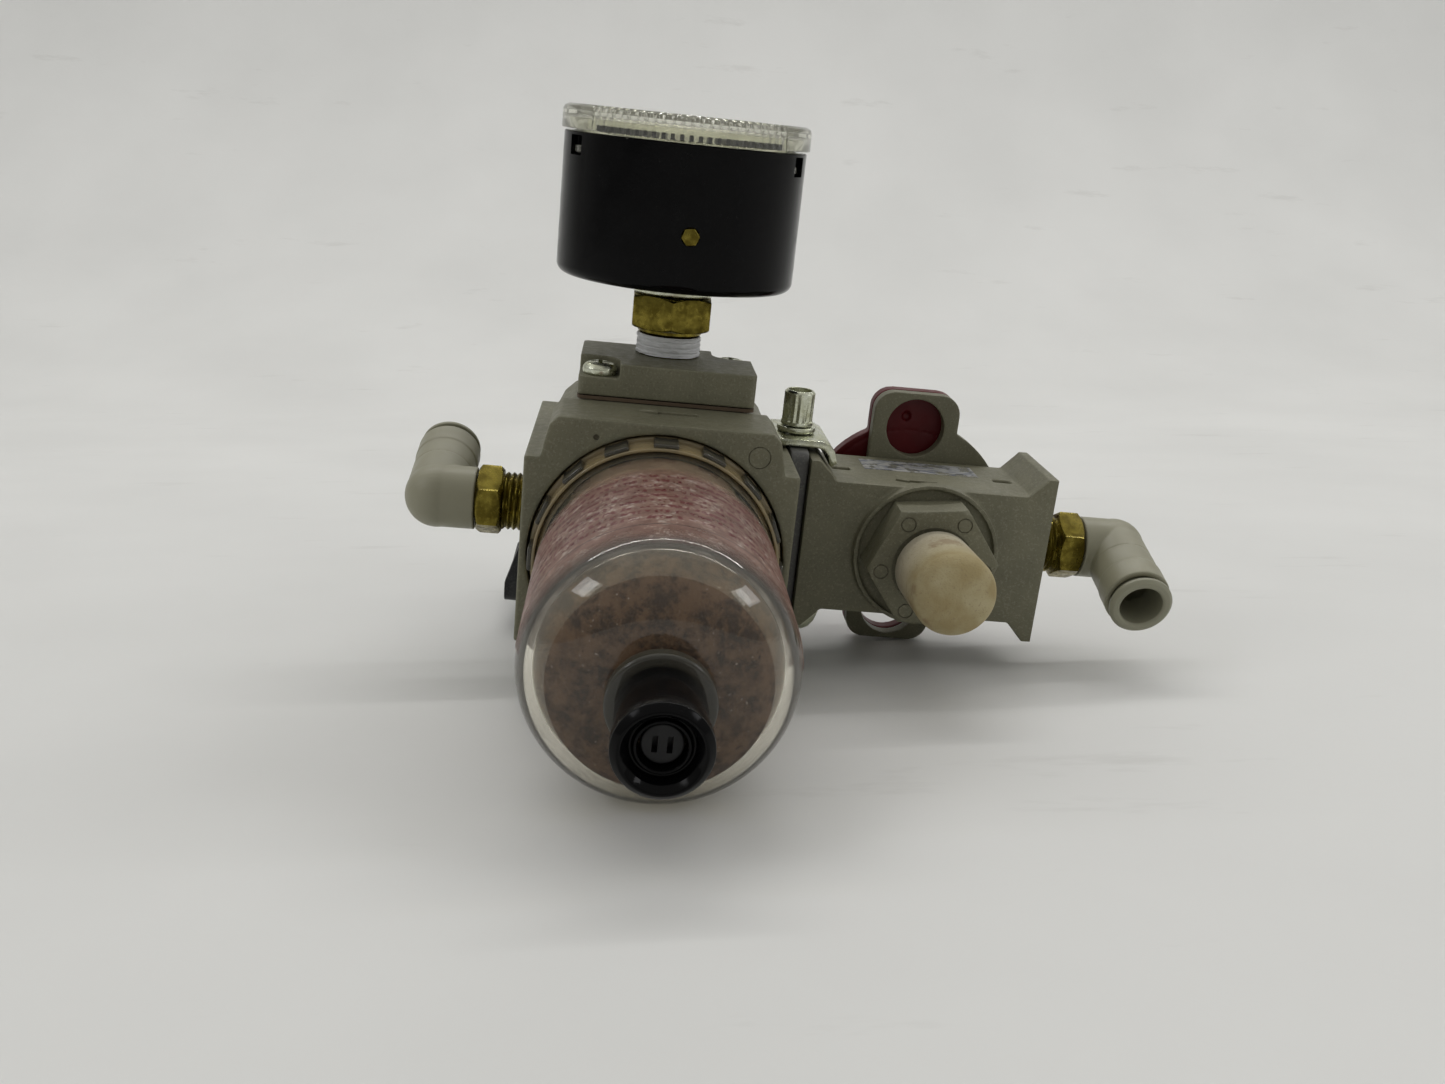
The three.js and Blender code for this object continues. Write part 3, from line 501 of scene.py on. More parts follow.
def machined(name, colour, tarnish, rough=0.32, spread=(0.4, 0.62)):
    """Bare or plated metal with fine tool marks and patches of tarnish."""
    look = Look(name, rough, 1.0)
    look.colour(look.mix(look.patches(1.8, 5, *spread, rough=0.6), colour, tarnish))
    look.rough(look.patches(0.9, 4, 0.3, 0.7, rough - 0.08, rough + 0.16))
    look.bump(look.noise(0.8, 3, 0.5, TOOL_MARKS), 0.2, 0.008)
    return look.material


def porous_look():
    """Sintered plastic, cleaner towards the valve, with stains and pits."""
    look = Look("porous_cream", 0.95)
    base = look.mottled(4, 4, (0.36, 0.29, 0.145), (0.46, 0.40, 0.24))
    tip, shoulder = (corner.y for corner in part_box("silencer"))
    clean = look.step(look.part("Y"), tip + 4 * MM, shoulder - 5 * MM)
    base = look.over(base, (0.52, 0.50, 0.43), clean, 0.75)
    base = look.over(base, (0.24, 0.16, 0.09), look.patches(5.5, 5, 0.60, 0.68, rough=0.65), 0.55)
    look.colour(look.over(base, (0.25, 0.19, 0.12), look.patches(0.35, 2, 0.6, 0.72), 0.45))
    coarse = look.bump(look.noise(0.9, 3), 0.6, 0.12)
    look.bump(look.noise(0.3, 2), 0.9, 0.1, coarse)
    return look.material


def clear_look(name, tint, rough=0.04, clearness=0.98, cloudy=None):
    """Clear plastic, a little scuffed, that lamps shine through. It can be cloudier along
    part of Y: cloudy is where that starts and ends, and how clear it is there."""
    look = Look(name, rough)
    look.set("Transmission Weight", clearness)
    look.set("IOR", 1.47)
    look.colour(look.mottled(7, 3, shaded(tint, 0.93), tint))
    look.rough(look.patches(3, 5, 0.5, 0.75, rough, rough + 0.05, rough=0.6))
    look.bump(look.noise(5, 2), 0.05, 0.05)
    if cloudy:
        along, edge = look.part("Y"), CLOUD_EDGE * MM
        start, end, dim = ORIGIN.y + cloudy[0] * MM, ORIGIN.y + cloudy[1] * MM, cloudy[2]
        near = look.step(along, start - edge, start, clearness, dim)
        far = look.step(along, end, end + edge, 0.0, clearness - dim)
        look.link(look.maths("ADD", near, far), look.shader.inputs["Transmission Weight"])
    passing = look.node("ShaderNodeBsdfTransparent")
    passing.inputs["Color"].default_value = (*shaded(tint, 0.9), 1)
    blend = look.node("ShaderNodeMixShader")
    look.link(look.node("ShaderNodeLightPath").outputs["Is Shadow Ray"], blend.inputs[0])
    look.link(look.shader.outputs[0], blend.inputs[1])
    look.link(passing.outputs[0], blend.inputs[2])
    look.link(blend.outputs[0], look.tree.nodes["Material Output"].inputs["Surface"])
    return look.material


def residue_look():
    """The dried brown film inside the bowl, paler towards its open end."""
    look = Look("bowl_residue", 0.6)
    start = ORIGIN.y - 60 * MM
    pale = look.step(look.part("Y"), start, start + 12 * MM)
    dark = look.mix(look.patches(2.6, 6, 0.42, 0.58, rough=0.75),
                    (0.036, 0.016, 0.007), (0.150, 0.082, 0.043))
    light = look.mix(look.patches(5, 5, 0.35, 0.65, rough=0.6), (0.25, 0.15, 0.12), (0.42, 0.30, 0.25))
    base = look.mix(pale, dark, light)
    base = look.over(base, (0.030, 0.012, 0.007), look.patches(0.8, 3, 0.64, 0.70, rough=0.6), 0.8)
    look.colour(look.over(base, (0.42, 0.33, 0.27), look.patches(0.5, 2, 0.69, 0.75), 0.7))
    look.bump(look.noise(0.6, 3), 0.5, 0.1)
    return look.material


def label_look():
    """Faded red printing on the bowl, rubbed away in places. It has rows of plain marks, no words."""
    look = Look("bowl_print", 0.45)
    flat = look.node("ShaderNodeUVMap").outputs["UV"]
    along = look.part("Y", flat)
    rows = look.maths("FRACT", look.maths("DIVIDE", along, ROW_PITCH))
    in_row = look.band(rows, 0.40, 0.46, 0.94, 0.98)
    marks = look.node("ShaderNodeTexNoise")
    marks.inputs["Scale"].default_value = 0.7
    marks.inputs["Detail"].default_value = 0.0
    look.link(look.stretched((2.4, 0.9, 1), flat), marks.inputs["Vector"])
    ink = look.times(look.step(marks.outputs["Fac"], 0.47, 0.52), in_row)
    ink = look.times(ink, look.band(along, 7.0, 7.4, 27.5, 28.0))
    rubbed = look.patches(3.0, 6, 0.50, 0.56, rough=0.72)
    scratched = look.patches(0.9, 4, 0.50, 0.60, rough=0.7)
    base = look.mottled(3, 4, (0.22, 0.115, 0.088), (0.31, 0.19, 0.150))
    base = look.over(base, (0.145, 0.012, 0.020), ink, 0.85)
    base = look.over(base, (0.56, 0.47, 0.41), look.times(rubbed, scratched), 0.85)
    look.colour(look.over(base, (0.05, 0.03, 0.03), look.band(along, 5.5, 5.6, 5.75, 5.85), 0.8))
    cover = look.patches(3.2, 5, 0.36, 0.58, 0.62, 0.95, rough=0.65)
    mouth = look.step(along, 26.5, 31.0, 1.0, 0.0)
    end = look.step(along, 0.0, 4.0, 0.0, 0.85)
    look.link(look.times(look.times(cover, mouth), end), look.shader.inputs["Alpha"])
    return look.material


def sticker_look():
    """A faded strip on the valve, with worn blue-grey marks and no words."""
    look = Look("worn_strip", 0.45)
    smear = look.patches(1.0, 4, 0.48, 0.56, rough=0.6, stretch=(0.45, 1, 1))
    look.colour(look.over((0.40, 0.40, 0.385), (0.13, 0.145, 0.19), smear, 0.8))
    look.link(look.patches(2.4, 4, 0.40, 0.52, 0.2, 0.95, rough=0.6), look.shader.inputs["Alpha"])
    return look.material


def floor_look():
    look = Look("floor", 0.6)
    base = look.mix(look.patches(90, 4, 0.3, 0.7), (0.72, 0.725, 0.715), (0.77, 0.775, 0.765))
    streak = look.patches(16, 5, 0.63, 0.72, rough=0.65, stretch=(0.25, 1, 1))
    look.colour(look.over(base, (0.42, 0.41, 0.39), streak, 0.18))
    look.bump(look.noise(2.5, 4), 0.2, 0.2)
    return look.material


# The last colour of each painted casting is laid as dirt specks and as painted shade in inward corners.
CAST = painted_casting("cast_grey", (0.180, 0.174, 0.117), (0.32, 0.31, 0.23), (0.06, 0.05, 0.03))
SPACER = painted_casting("spacer_grey", (0.112, 0.112, 0.108), (0.24, 0.24, 0.22), (0.045, 0.04, 0.035))
ELBOW = moulded("elbow_grey", (0.29, 0.28, 0.20), 0.42, 0.3, 0.08, 0.25, (0.25, 0.22, 0.17))
BUTTON = moulded("button_grey", (0.27, 0.265, 0.19), 0.42, 0.3, 0.08, 0.25, (0.22, 0.2, 0.15))
BLACK = moulded("black_plastic", (0.0025, 0.0026, 0.003), 0.14, 0.5, 0.25, 0.1, (0.08, 0.08, 0.08), 0.1)
MATT_BLACK = moulded("black_satin", (0.013, 0.013, 0.014), 0.36, 0.3, 0.25, 0.15, (0.1, 0.1, 0.1), 0.25)
BLACK_STEEL = painted_casting(
    "black_steel", (0.012, 0.012, 0.013), (0.10, 0.10, 0.10), (0.03, 0.028, 0.024), 0.42)
RED = moulded("red_plastic", (0.11, 0.004, 0.007), 0.42, 0.3, 0.2, 0.12, (0.35, 0.12, 0.11), 0.25)
RUBBER = moulded("rubber", (0.02, 0.019, 0.018), 0.8, 0.2, 0.3)
GASKET = moulded("gasket_brown", (0.11, 0.075, 0.045), 0.7, 0.3, 0.3)
WHITE = moulded("white_plastic", (0.70, 0.69, 0.65), 0.5, 0.3, 0.06)
TAPE = moulded("thread_tape_white", (0.74, 0.75, 0.76), 0.55, 0.4, 0.1)
BRASS = machined("brass", (0.23, 0.185, 0.035), (0.11, 0.085, 0.014), 0.28)
ZINC = machined("zinc", (0.62, 0.64, 0.53), (0.44, 0.44, 0.28), 0.24, spread=(0.35, 0.8))
STEEL = machined("steel", (0.55, 0.56, 0.57), (0.40, 0.40, 0.40), 0.28)
POROUS = porous_look()
CLEAR = clear_look("clear_plastic", (0.90, 0.87, 0.77), 0.01, cloudy=(-67.0, -64.5, 0.92))
LENS = clear_look("lens_plastic", (0.88, 0.88, 0.79), 0.03, 0.93)
AMBER = clear_look("clear_amber", (0.56, 0.46, 0.27), 0.05, 0.55)
SMOKED = clear_look("clear_smoked", (0.15, 0.145, 0.12), 0.05, 0.7)
RESIDUE = residue_look()
LABEL = label_look()
STRIP = sticker_look()
FILTER = moulded("filter_grey", (0.50, 0.46, 0.38), 0.9, 0.5, 0.3)
INK = moulded("print_black", (0.01, 0.01, 0.012), 0.6, 0.4, 0.2)


# ---- regulator body ----
BODY_HALF = 20
BODY_NEAR = span("regulator_body", "y")[0]
BODY_FACE = -span("regulator_body", "z")[0]
FLANGE_TOP = 14.2
SHOULDER_Y = -11.5  # where the square near block ends


def mirrored_section(quarter):
    upper = quarter + [(-u, v) for u, v in reversed(quarter)]
    return upper + [(u, -v) for u, v in reversed(upper)]


def turned_hexagon(flats, axis, outline):
    """A hexagon whose corners are turned down to an outline of (radius, along)."""
    shape = prism(hexagon(flats, 30), axis, outline[0][1], outline[-1][1])
    return trimmed(shape, turned(outline, axis))


def flow_arrow(scale, x, y, z):
    shape = [(-5, 0), (-2, 1.1), (-2, 0.4), (4.5, 0.4), (4.5, -0.4), (-2, -0.4), (-2, -1.1)]
    shape = [(x + u * scale, y + v * scale) for u, v in shape]
    return prism(shape, "z", z - 0.5, z + 0.35)


def regulator_body():
    near = mirrored_section([
        (BODY_HALF - 0.2, FLANGE_TOP), (17.6, FLANGE_TOP), (17.2, 16.4), (16.6, 19.0), (15.4, BODY_FACE),
    ])
    far = mirrored_section([
        (BODY_HALF - 0.2, FLANGE_TOP), (17.4, FLANGE_TOP), (16.9, 15.4), (15.8, 17.9),
        (14.0, 19.6), (11.8, BODY_FACE),
    ])
    body = prism(near, "y", BODY_NEAR, SHOULDER_Y)
    joined(
        body,
        prism(far, "y", SHOULDER_Y - 1, 6),
        block(-BODY_HALF + 0.1, BODY_HALF - 0.1, BODY_NEAR + 0.2, 13, -FLANGE_TOP, FLANGE_TOP),
        rod(BODY_HALF - 0.05, 5, PORTS_TO_SEAT),
    )
    groove = [(17.5, 12.0), (19.1, FLANGE_TOP), (19.1, 15.2), (17.5, 15.2)]
    tools = [
        rod(18.8, BODY_NEAR - 1, -18.2),
        rod(17.75, -18.4, -14.2),
        rod(5.15, -BODY_HALF - 1, -11, "x"),
        rod(4.6, 10, BODY_HALF + 1, "x"),
        rod(5.15, -BODY_FACE - 1, -12.5, "z", GAUGE_AXIS),
        rod(14, 9, PORTS_TO_SEAT + 1),
    ]
    for up in (1, -1):
        tools.append(prism([(u, v * up) for u, v in groove], "y", -8.5, 8.5))
    carved(body, *tools)
    cast(body, 0.24, 3)
    joined(body, flow_arrow(0.9, 0.5, -17.2, BODY_FACE - 0.05))
    return carved(
        body,
        ring(1.5, 1.65, BODY_NEAR - 1, BODY_NEAR + 0.14, "y", (13.6, 16.7), 48, 0),
        rod(0.45, BODY_NEAR - 1, BODY_NEAR + 0.3, "y", (-9.9, 17.7), 24),
    )


fixed(regulator_body(), "body_casting", CAST, "cast_grey", "regulator_body")


# ---- gauge adapter ----
def adapter_shape():
    x0, x1 = span("gauge_adapter", "x")
    y0, y1 = span("gauge_adapter", "y")
    z0, z1 = span("gauge_adapter", "z")
    plate = prism(shifted(rounded_box((x1 - x0) / 2, (y1 - y0) / 2, 1), 0, (y0 + y1) / 2), "z", z0, z1)
    inset, pocket, floor = 3.1, 3.0, z1 - 2.2
    near, far = (x0 + inset, y0 + inset), (x1 - inset, y1 - inset)
    carved(
        plate,
        rod(4.7, z0 - 1, z1 + 1, "z", GAUGE_AXIS),
        rod(pocket, floor, z1 + 1, "z", near),
        block(x0 - 1, near[0], near[1] - pocket, near[1] + pocket, floor, z1 + 1),
        block(near[0] - pocket, near[0] + pocket, y0 - 1, near[1], floor, z1 + 1),
        rod(pocket, floor, z1 + 1, "z", far),
        block(far[0], x1 + 1, far[1] - pocket, far[1] + pocket, floor, z1 + 1),
        block(far[0] - pocket, far[0] + pocket, far[1], y1 + 1, floor, z1 + 1),
    )
    return cast(plate, 0.16, 2)


def pan_screw(node):
    x, y, radius = centre_of(node, "x"), centre_of(node, "y"), half_width(node, "x")
    low, high = span(node, "z")
    under = high - 1.9
    head = turned(softened([
        (0, low), (1.5, low), (1.5, under), (radius, under), (radius, under + 1.0),
        (radius * 0.82, high - 0.25), (radius * 0.4, high), (0, high),
    ], 0.35), "z", (x, y), 48)
    arm = radius * 0.55
    carved(
        head,
        block(x - arm, x + arm, y - 0.32, y + 0.32, high - 1.1, high + 1),
        block(x - 0.32, x + 0.32, y - arm, y + arm, high - 1.1, high + 1),
    )
    return head


fixed(adapter_shape(), "adapter_block", CAST, "cast_grey", "gauge_adapter")
fixed(pan_screw("adapter_screw_1"), "pan_screw_1", ZINC, "steel", "adapter_screw_1")
fixed(pan_screw("adapter_screw_2"), "pan_screw_2", ZINC, "steel", "adapter_screw_2")


# ---- gauge ----
NOTCHES = (-152, -25, 28, 155)  # where the lens ring's catches sit, in degrees
CASE_SCREW_AXIS = (centre_of("gauge_case_screw", "x"), centre_of("gauge_case_screw", "z"))
RIB_PITCH = 4.0  # degrees between the lens ring's ribs
DIAL_START = 225  # where the dial's zero is, in degrees
TICK_STEP = 5.4
NUMBER_STEP = 54
DIAL_REACH = 14.2
THREAD_PITCH = 0.907


def gauge_stem():
    z0, z1 = 30.3, 35.5
    limit = [(0, z0), (6.1, z0), (7.0, z0 + 0.55), (7.0, z1 - 0.55), (6.1, z1), (0, z1)]
    flats = moved(turned_hexagon(12, "z", limit), Matrix.Translation(GAUGE_CENTRE))
    bevelled(flats, 0.12, 2)
    thread = [(0, 21.6), (4.3, 21.6), (4.5, 22)]
    for i in range(8):
        thread += [(4.5, 22.4 + i * 0.9), (4.15, 22.85 + i * 0.9)]
    thread += [(4.5, 29.6), (5, 29.7), (5, 30.4), (0, 30.4)]
    shank = turned(thread, "z", GAUGE_AXIS)
    neck = rod(3.6, 35.4, 40, "z", GAUGE_AXIS)
    return gathered("stem", [flats, shank, neck])


def tape_swell(angle, radius, along):
    spot = Vector((cos(angle) * 2.4, sin(angle) * 2.4, along * 1.6))
    return 0.16 * noise.noise(spot * 1.7) + 0.08 * noise.noise(spot * 5) if radius > 4.75 else 0


def thread_tape():
    laps = [(4.92 + (0.12 if i % 8 < 5 else 0.0), 26.3 + i * 0.1) for i in range(31)]
    outline = [(4.65, 26.3), *laps, (4.65, 29.3)]
    return turned(outline, "z", GAUGE_AXIS, 128, tape_swell)


def gauge_case():
    floor, rim, radius = CASE_FLOOR, CASE_RIM, CASE_RADIUS
    outline = [(3.9, floor)]
    outline += [(radius - 1.5 + 1.5 * sin(a), floor + 1.5 - 1.5 * cos(a))
                for a in (radians(9 * i) for i in range(11))]
    outline += [
        (radius, floor + 6), (radius, rim - 3), (radius, rim - 0.15), (radius - 0.15, rim),
        (radius - 1.4, rim), (radius - 1.4, floor + 1.5), (3.9, floor + 1.5),
    ]
    case = turned(outline, "z", GAUGE_AXIS, 160)
    tools = [rod(1.35, GAUGE_Y - radius - 1, GAUGE_Y - radius + 4, "y",
                 CASE_SCREW_AXIS, 32)]
    for degrees in NOTCHES:
        slot = block(radius - 1.2, radius + 1, -1.7, 1.7, rim - 3.3, rim - 0.5, 0.15)
        tools.append(swung(slot, degrees, "Z", GAUGE_CENTRE))
    return carved(case, *tools)


def rib_zone(angle):
    """True where the lens ring has ribs, in front and behind, and false at its smooth ends."""
    return 42 < in_degrees(angle) % 180 < 138


def lens_swell(angle, radius, along):
    if radius < LENS_RADIUS - 0.6 or along < CASE_RIM + 1.1 or not rib_zone(angle):
        return 0
    pitch = radians(RIB_PITCH)
    phase = (angle % pitch) / pitch
    return -0.42 * (0.5 - 0.5 * cos(2 * pi * phase)) ** 2


def gauge_lens():
    top, radius, under = LENS_TOP, LENS_RADIUS, CASE_RIM + 0.3
    window = top - 1.5
    outline = softened([
        (0, window), (15.6, window), (15.6, 56.2), (CASE_RADIUS - 1.7, 56.2),
        (CASE_RADIUS - 1.7, under + 1.8), (radius - 0.95, under + 1.8), (radius - 0.95, under),
        (radius, under), (radius, top - 0.9),
        (radius - 0.25, top - 0.3), (radius - 0.9, top), (0, top),
    ], 0.2)
    lens = turned(outline, "z", GAUGE_AXIS, 720, lens_swell)
    tabs = []
    for degrees in NOTCHES:
        tab = block(
            CASE_RADIUS - 1.15, CASE_RADIUS - 0.5, -1.3, 0.6, CASE_RIM - 2.9, CASE_RIM - 1.9, 0.15)
        tabs.append(swung(tab, degrees, "Z", GAUGE_CENTRE))
    return gathered("lens", [lens] + tabs)


def case_teeth():
    """Short black lugs on the case's rim, seen through the lens ring."""
    teeth = []
    inner, outer = CASE_RADIUS - 1.35, LENS_RADIUS - 0.1
    for i in range(90):
        degrees = i * RIB_PITCH + RIB_PITCH / 2
        if not rib_zone(radians(degrees)):
            continue
        tooth = block(inner, outer, -0.3, 0.3, CASE_RIM + 0.42, CASE_RIM + 1.15)
        teeth.append(swung(tooth, degrees, "Z", GAUGE_CENTRE))
    return gathered("teeth", teeth)


def case_screw():
    y = span("gauge_case_screw", "y")[0]
    head = prism(shifted(hexagon(2.3, 8), *CASE_SCREW_AXIS), "y", y, y + 0.7, 0.1)
    shank = rod(1.05, y + 0.6, y + 2.6, "y", CASE_SCREW_AXIS, 24)
    return gathered("screw", [head, shank])


def dial_marks():
    """Ticks round the dial, from zero to full scale over 270 degrees."""
    marks = []
    for i in range(51):
        degrees = DIAL_START - i * TICK_STEP
        length, half = (1.5, 0.08) if i % 5 else (2.6, 0.16)
        tick = block(DIAL_REACH - length, DIAL_REACH, -half, half, DIAL_TOP + 0.02, DIAL_TOP + 0.06)
        marks.append(swung(tick, degrees, "Z", GAUGE_CENTRE))
    hoop = ring(DIAL_REACH, DIAL_REACH + 0.2, DIAL_TOP + 0.02, DIAL_TOP + 0.06, "z", GAUGE_AXIS, 120, 0)
    return gathered("marks", marks + [hoop])


def dial_numbers():
    numbers = []
    for i in range(6):
        curve = bpy.data.curves.new("number", "FONT")
        curve.body = "0" if i == 0 else "1" if i == 5 else f"0.{2 * i}"
        curve.size = 2.7
        curve.align_x = "CENTER"
        curve.align_y = "CENTER"
        curve.extrude = 0.02
        number = meshed("number", curve)
        bm = bmesh.new()
        bm.from_mesh(number.data)
        bmesh.ops.remove_doubles(bm, verts=bm.verts, dist=1e-4)
        bm.to_mesh(number.data)
        bm.free()
        angle = radians(DIAL_START - i * NUMBER_STEP)
        spot = (9.4 * cos(angle), GAUGE_Y + 9.4 * sin(angle), DIAL_TOP + 0.04)
        numbers.append(moved(number, Matrix.Translation(spot)))
    return gathered("numbers", numbers)


fixed(gauge_stem(), "brass_stem", BRASS, "brass", "gauge_stem")
fixed(thread_tape(), "tape_wraps", TAPE, "white_plastic", "thread_tape")
fixed(ring(3.9, 6.4, 35.75, 37.3, "z", GAUGE_AXIS, 64, 0.35), "stem_washer", ZINC,
      "zinc", "gauge_washer")
fixed(gauge_case(), "black_case", BLACK, "black_plastic", "gauge_case")
fixed(case_teeth(), "case_lugs", MATT_BLACK, "black_plastic")
fixed(gauge_lens(), "clear_lens", LENS, "clear_plastic", "gauge_lens")
fixed(case_screw(), "small_brass_screw", BRASS, "brass", "gauge_case_screw")
fixed(ring(1.6, CASE_RADIUS - 1.7, 54, DIAL_TOP, "z", GAUGE_AXIS, 120, 0.1), "dial_plate", WHITE,
      "white_plastic", "gauge_dial")
fixed(dial_marks(), "dial_ticks", INK, "pointer_black")
fixed(dial_numbers(), "dial_numbers", INK, "pointer_black")


# ---- bowl and drain ----
BOWL_RADIUS = 17.0
BOWL_NEAR = -64.0
LABEL_START = -35.0
LABEL_END = -67.0


def dome(reach, start, depth, flat, steps=20):
    points = []
    for i in range(steps + 1):
        angle = radians(90 * i / steps)
        points.append((flat + (reach - flat) * cos(angle), start - depth * sin(angle)))
    return points


def bowl_vessel():
    inside = BOWL_RADIUS - 2.5
    outer = dome(BOWL_RADIUS, BOWL_NEAR, BOWL_NEAR - BOWL_END, 6.5)
    inner = dome(inside, BOWL_NEAR, BOWL_NEAR - BOWL_END - 2.4, 4.5)
    outline = [
        (inside + 0.4, -14.6), (17.3, -14.8), (17.3, -18.7), (17.2, -28.8), (17.1, -29.6),
        (BOWL_RADIUS, -32), (BOWL_RADIUS, -45), *outer, (3, BOWL_END), (3, BOWL_END + 2.4),
        *reversed(inner), (inside, -45), (inside, -30),
    ]
    return turned(outline, "y", (0, 0), 160)


def bowl_rim():
    """The thick ring at the bowl's mouth and the thinner skirt in front of it."""
    collar = ring(17.4, 18.45, -24.2, -18.7, "y", (0, 0), 160, 0.25)
    skirt = ring(17.35, 17.8, -28.6, -24.0, "y", (0, 0), 160, 0.15)
    return gathered("rim", [collar, skirt])


def bowl_grips():
    return gathered("grips", [
        swung(block(17.6, 18.4, -28.3, -24.0, -1.8, 1.8, 0.3), 22.5 * i) for i in range(16)
    ])


def bowl_residue():
    inside = BOWL_RADIUS - 2.62
    skin = 0.35
    outer = [(r, y - 0.17) if r < 12.5 else (r, y)
             for r, y in dome(inside, BOWL_NEAR, BOWL_NEAR - BOWL_END - 2.5, 4.5)]
    inner = dome(inside - skin, BOWL_NEAR, BOWL_NEAR - BOWL_END - 2.5 - skin, 4.5)
    outline = [(inside, -19), (inside, -45), *outer, (3.2, BOWL_END + 2.5), (3.2, BOWL_END + 2.5 + skin),
               *reversed(inner), (inside - skin, -45), (inside - skin, -19)]
    return turned(outline, "y", (0, 0), 160)


def label_skin():
    """A thin skin over the bowl's upper half and shoulder, with a flat map in millimetres."""
    thick = 0.05
    shoulder = dome(BOWL_RADIUS, BOWL_NEAR, BOWL_NEAR - BOWL_END, 6.5, 40)
    profile = [p for p in reversed(shoulder) if p[1] > LABEL_END]
    profile += [(BOWL_RADIUS, BOWL_NEAR + (LABEL_START - BOWL_NEAR) * k / 30) for k in range(1, 31)]
    columns, rows = 96, len(profile) - 1
    start, end = radians(6), radians(174)
    bm = bmesh.new()
    layer = bm.loops.layers.uv.new("flat")
    grids = []
    for lift in (0.03, 0.03 + thick):
        grid = []
        for i in range(columns + 1):
            angle = start + (end - start) * i / columns
            across, up = cos(angle), sin(angle)
            grid.append([bm.verts.new(((r + lift) * across, y - lift / 2, (r + lift) * up))
                         for r, y in profile])
        grids.append(grid)

    def face(corners, places):
        made = bm.faces.new(corners)
        for loop, (i, k) in zip(made.loops, places):
            loop[layer].uv = (BOWL_RADIUS * (end - start) * i / columns, profile[k][1] - LABEL_END)

    for i in range(columns):
        for k in range(rows):
            places = [(i, k), (i + 1, k), (i + 1, k + 1), (i, k + 1)]
            face([grids[1][a][b] for a, b in places], places)
            back = places[::-1]
            face([grids[0][a][b] for a, b in back], back)
    for i in range(columns):
        for k in (0, rows):
            face([grids[0][i][k], grids[0][i + 1][k], grids[1][i + 1][k], grids[1][i][k]], [(i, k)] * 4)
    for k in range(rows):
        for i in (0, columns):
            face([grids[0][i][k], grids[0][i][k + 1], grids[1][i][k + 1], grids[1][i][k]], [(i, k)] * 4)
    bmesh.ops.recalc_face_normals(bm, faces=bm.faces)
    mesh = bpy.data.meshes.new("label")
    bm.to_mesh(mesh)
    bm.free()
    return linked("label", mesh)


def drain_knob():
    radius, end = 5.55, DRAIN_END
    outline = softened([
        (2.9, -75.3), (radius - 0.35, -75.3), (radius - 0.35, end + 3.4), (radius - 0.15, end + 3.0),
        (radius, end + 2.6), (radius, end + 0.9), (radius - 0.9, end), (radius - 1.7, end + 0.9),
        (radius - 1.9, end + 2.4), (3.1, end + 2.4), (3.1, end + 1.7), (2.7, end + 1.7),
        (2.6, end + 5), (2.9, end + 5),
    ], 0.3, 4)
    return turned(outline, "y", (0, 0), 128)


def drain_core():
    """The dark stub in the drain's mouth, with its two slots."""
    end = DRAIN_END
    core = rod(2.3, end + 2.6, end + 12, edge=0.2)
    return carved(core, *(block(x, x + 0.6, end + 2, end + 4, -1.0, 0.9) for x in (-1.1, 0.5)))


place(bowl_vessel(), "bowl_clear", CLEAR, "bowl", "clear_plastic", "bowl")
place(bowl_rim(), "bowl_rim", AMBER, "bowl", "clear_plastic")
place(bowl_grips(), "bowl_grips", SMOKED, "bowl", "clear_plastic")
place(bowl_residue(), "bowl_residue", RESIDUE, "bowl", "clear_plastic")
place(label_skin(), "bowl_print", LABEL, "bowl", "clear_plastic")
place(ring(3.2, 6.4, -75, -72.9, edge=0.5), "drain_ring", SMOKED,
      "bowl", "clear_plastic", "drain_collar")
place(drain_knob(), "drain_grip", BLACK, "drain", "black_plastic", "drain_knob")
place(drain_core(), "drain_core", MATT_BLACK, "drain", "black_plastic", "drain_valve")


# ---- spacer and clamp ----
def spacer_body():
    half, wide = half_width("spacer_body", "x"), half_width("spacer_body", "y")
    top = span("spacer_body", "z")[1]
    body = prism(rounded_box(wide, top, 1.5), "x", JOINT_X - half, JOINT_X + half, 0.25)
    return carved(body, rod(4.5, JOINT_X - 5, JOINT_X + 5, "x"))


def clamp_plate(up):
    """A pressed plate: a short hook on the regulator's flange, a long curved one on the valve's."""
    under = span("spacer_body", "z")[1] + 0.3
    top = under + 1.1
    outline = [
        (-3.7, top - 0.5), (-3.7, 12.9), (-2.7, 14.1), (-2.7, under), (2.9, under), (4.0, under - 0.25),
        (4.8, under - 1.1), (5.2, 12.0), (5.5, 11.8), (6.4, 12.4), (6.2, 13.1), (5.8, 14.3),
        (5.0, top - 0.5), (3.9, top), (-3.2, top),
    ]
    plate = prism([(JOINT_X + u, v * up) for u, v in outline], "y", -7, 7)
    carved(plate, rod(1.35, 8 * up if up > 0 else -20, 20 if up > 0 else -8, "z", (JOINT_X, -1), 32))
    return bevelled(plate, 0.14, 2)


def knurled_screw(node, up):
    x, y, radius = centre_of(node, "x"), centre_of(node, "y"), half_width(node, "x")
    low, high = span(node, "z")
    tip, top = (low, high) if up > 0 else (-high, -low)
    flutes = 16

    def knurl(angle, r, along):
        if r < radius - 0.35 or not top - 5.0 < along < top - 0.45:
            return 0
        return -0.28 * (0.5 - 0.5 * cos(flutes * angle)) ** 0.6

    under = span("clamp_washer", "z")[1] + 0.15 if up > 0 else top - 3
    outline = softened([
        (0, tip), (1.0, tip), (1.0, under), (radius, under), (radius, under + 0.6),
        (radius - 0.1, under + 0.7), (radius - 0.1, top - 0.35), (radius - 0.45, top),
        (1.9, top), (1.9, top - 2.4), (0, top - 2.4),
    ], 0.15)
    screw = turned(outline, "z", (x, y), 192, knurl)
    if up < 0:
        moved(screw, Matrix.Scale(-1, 4, (0, 0, 1)))
        screw.data.flip_normals()
    return screw


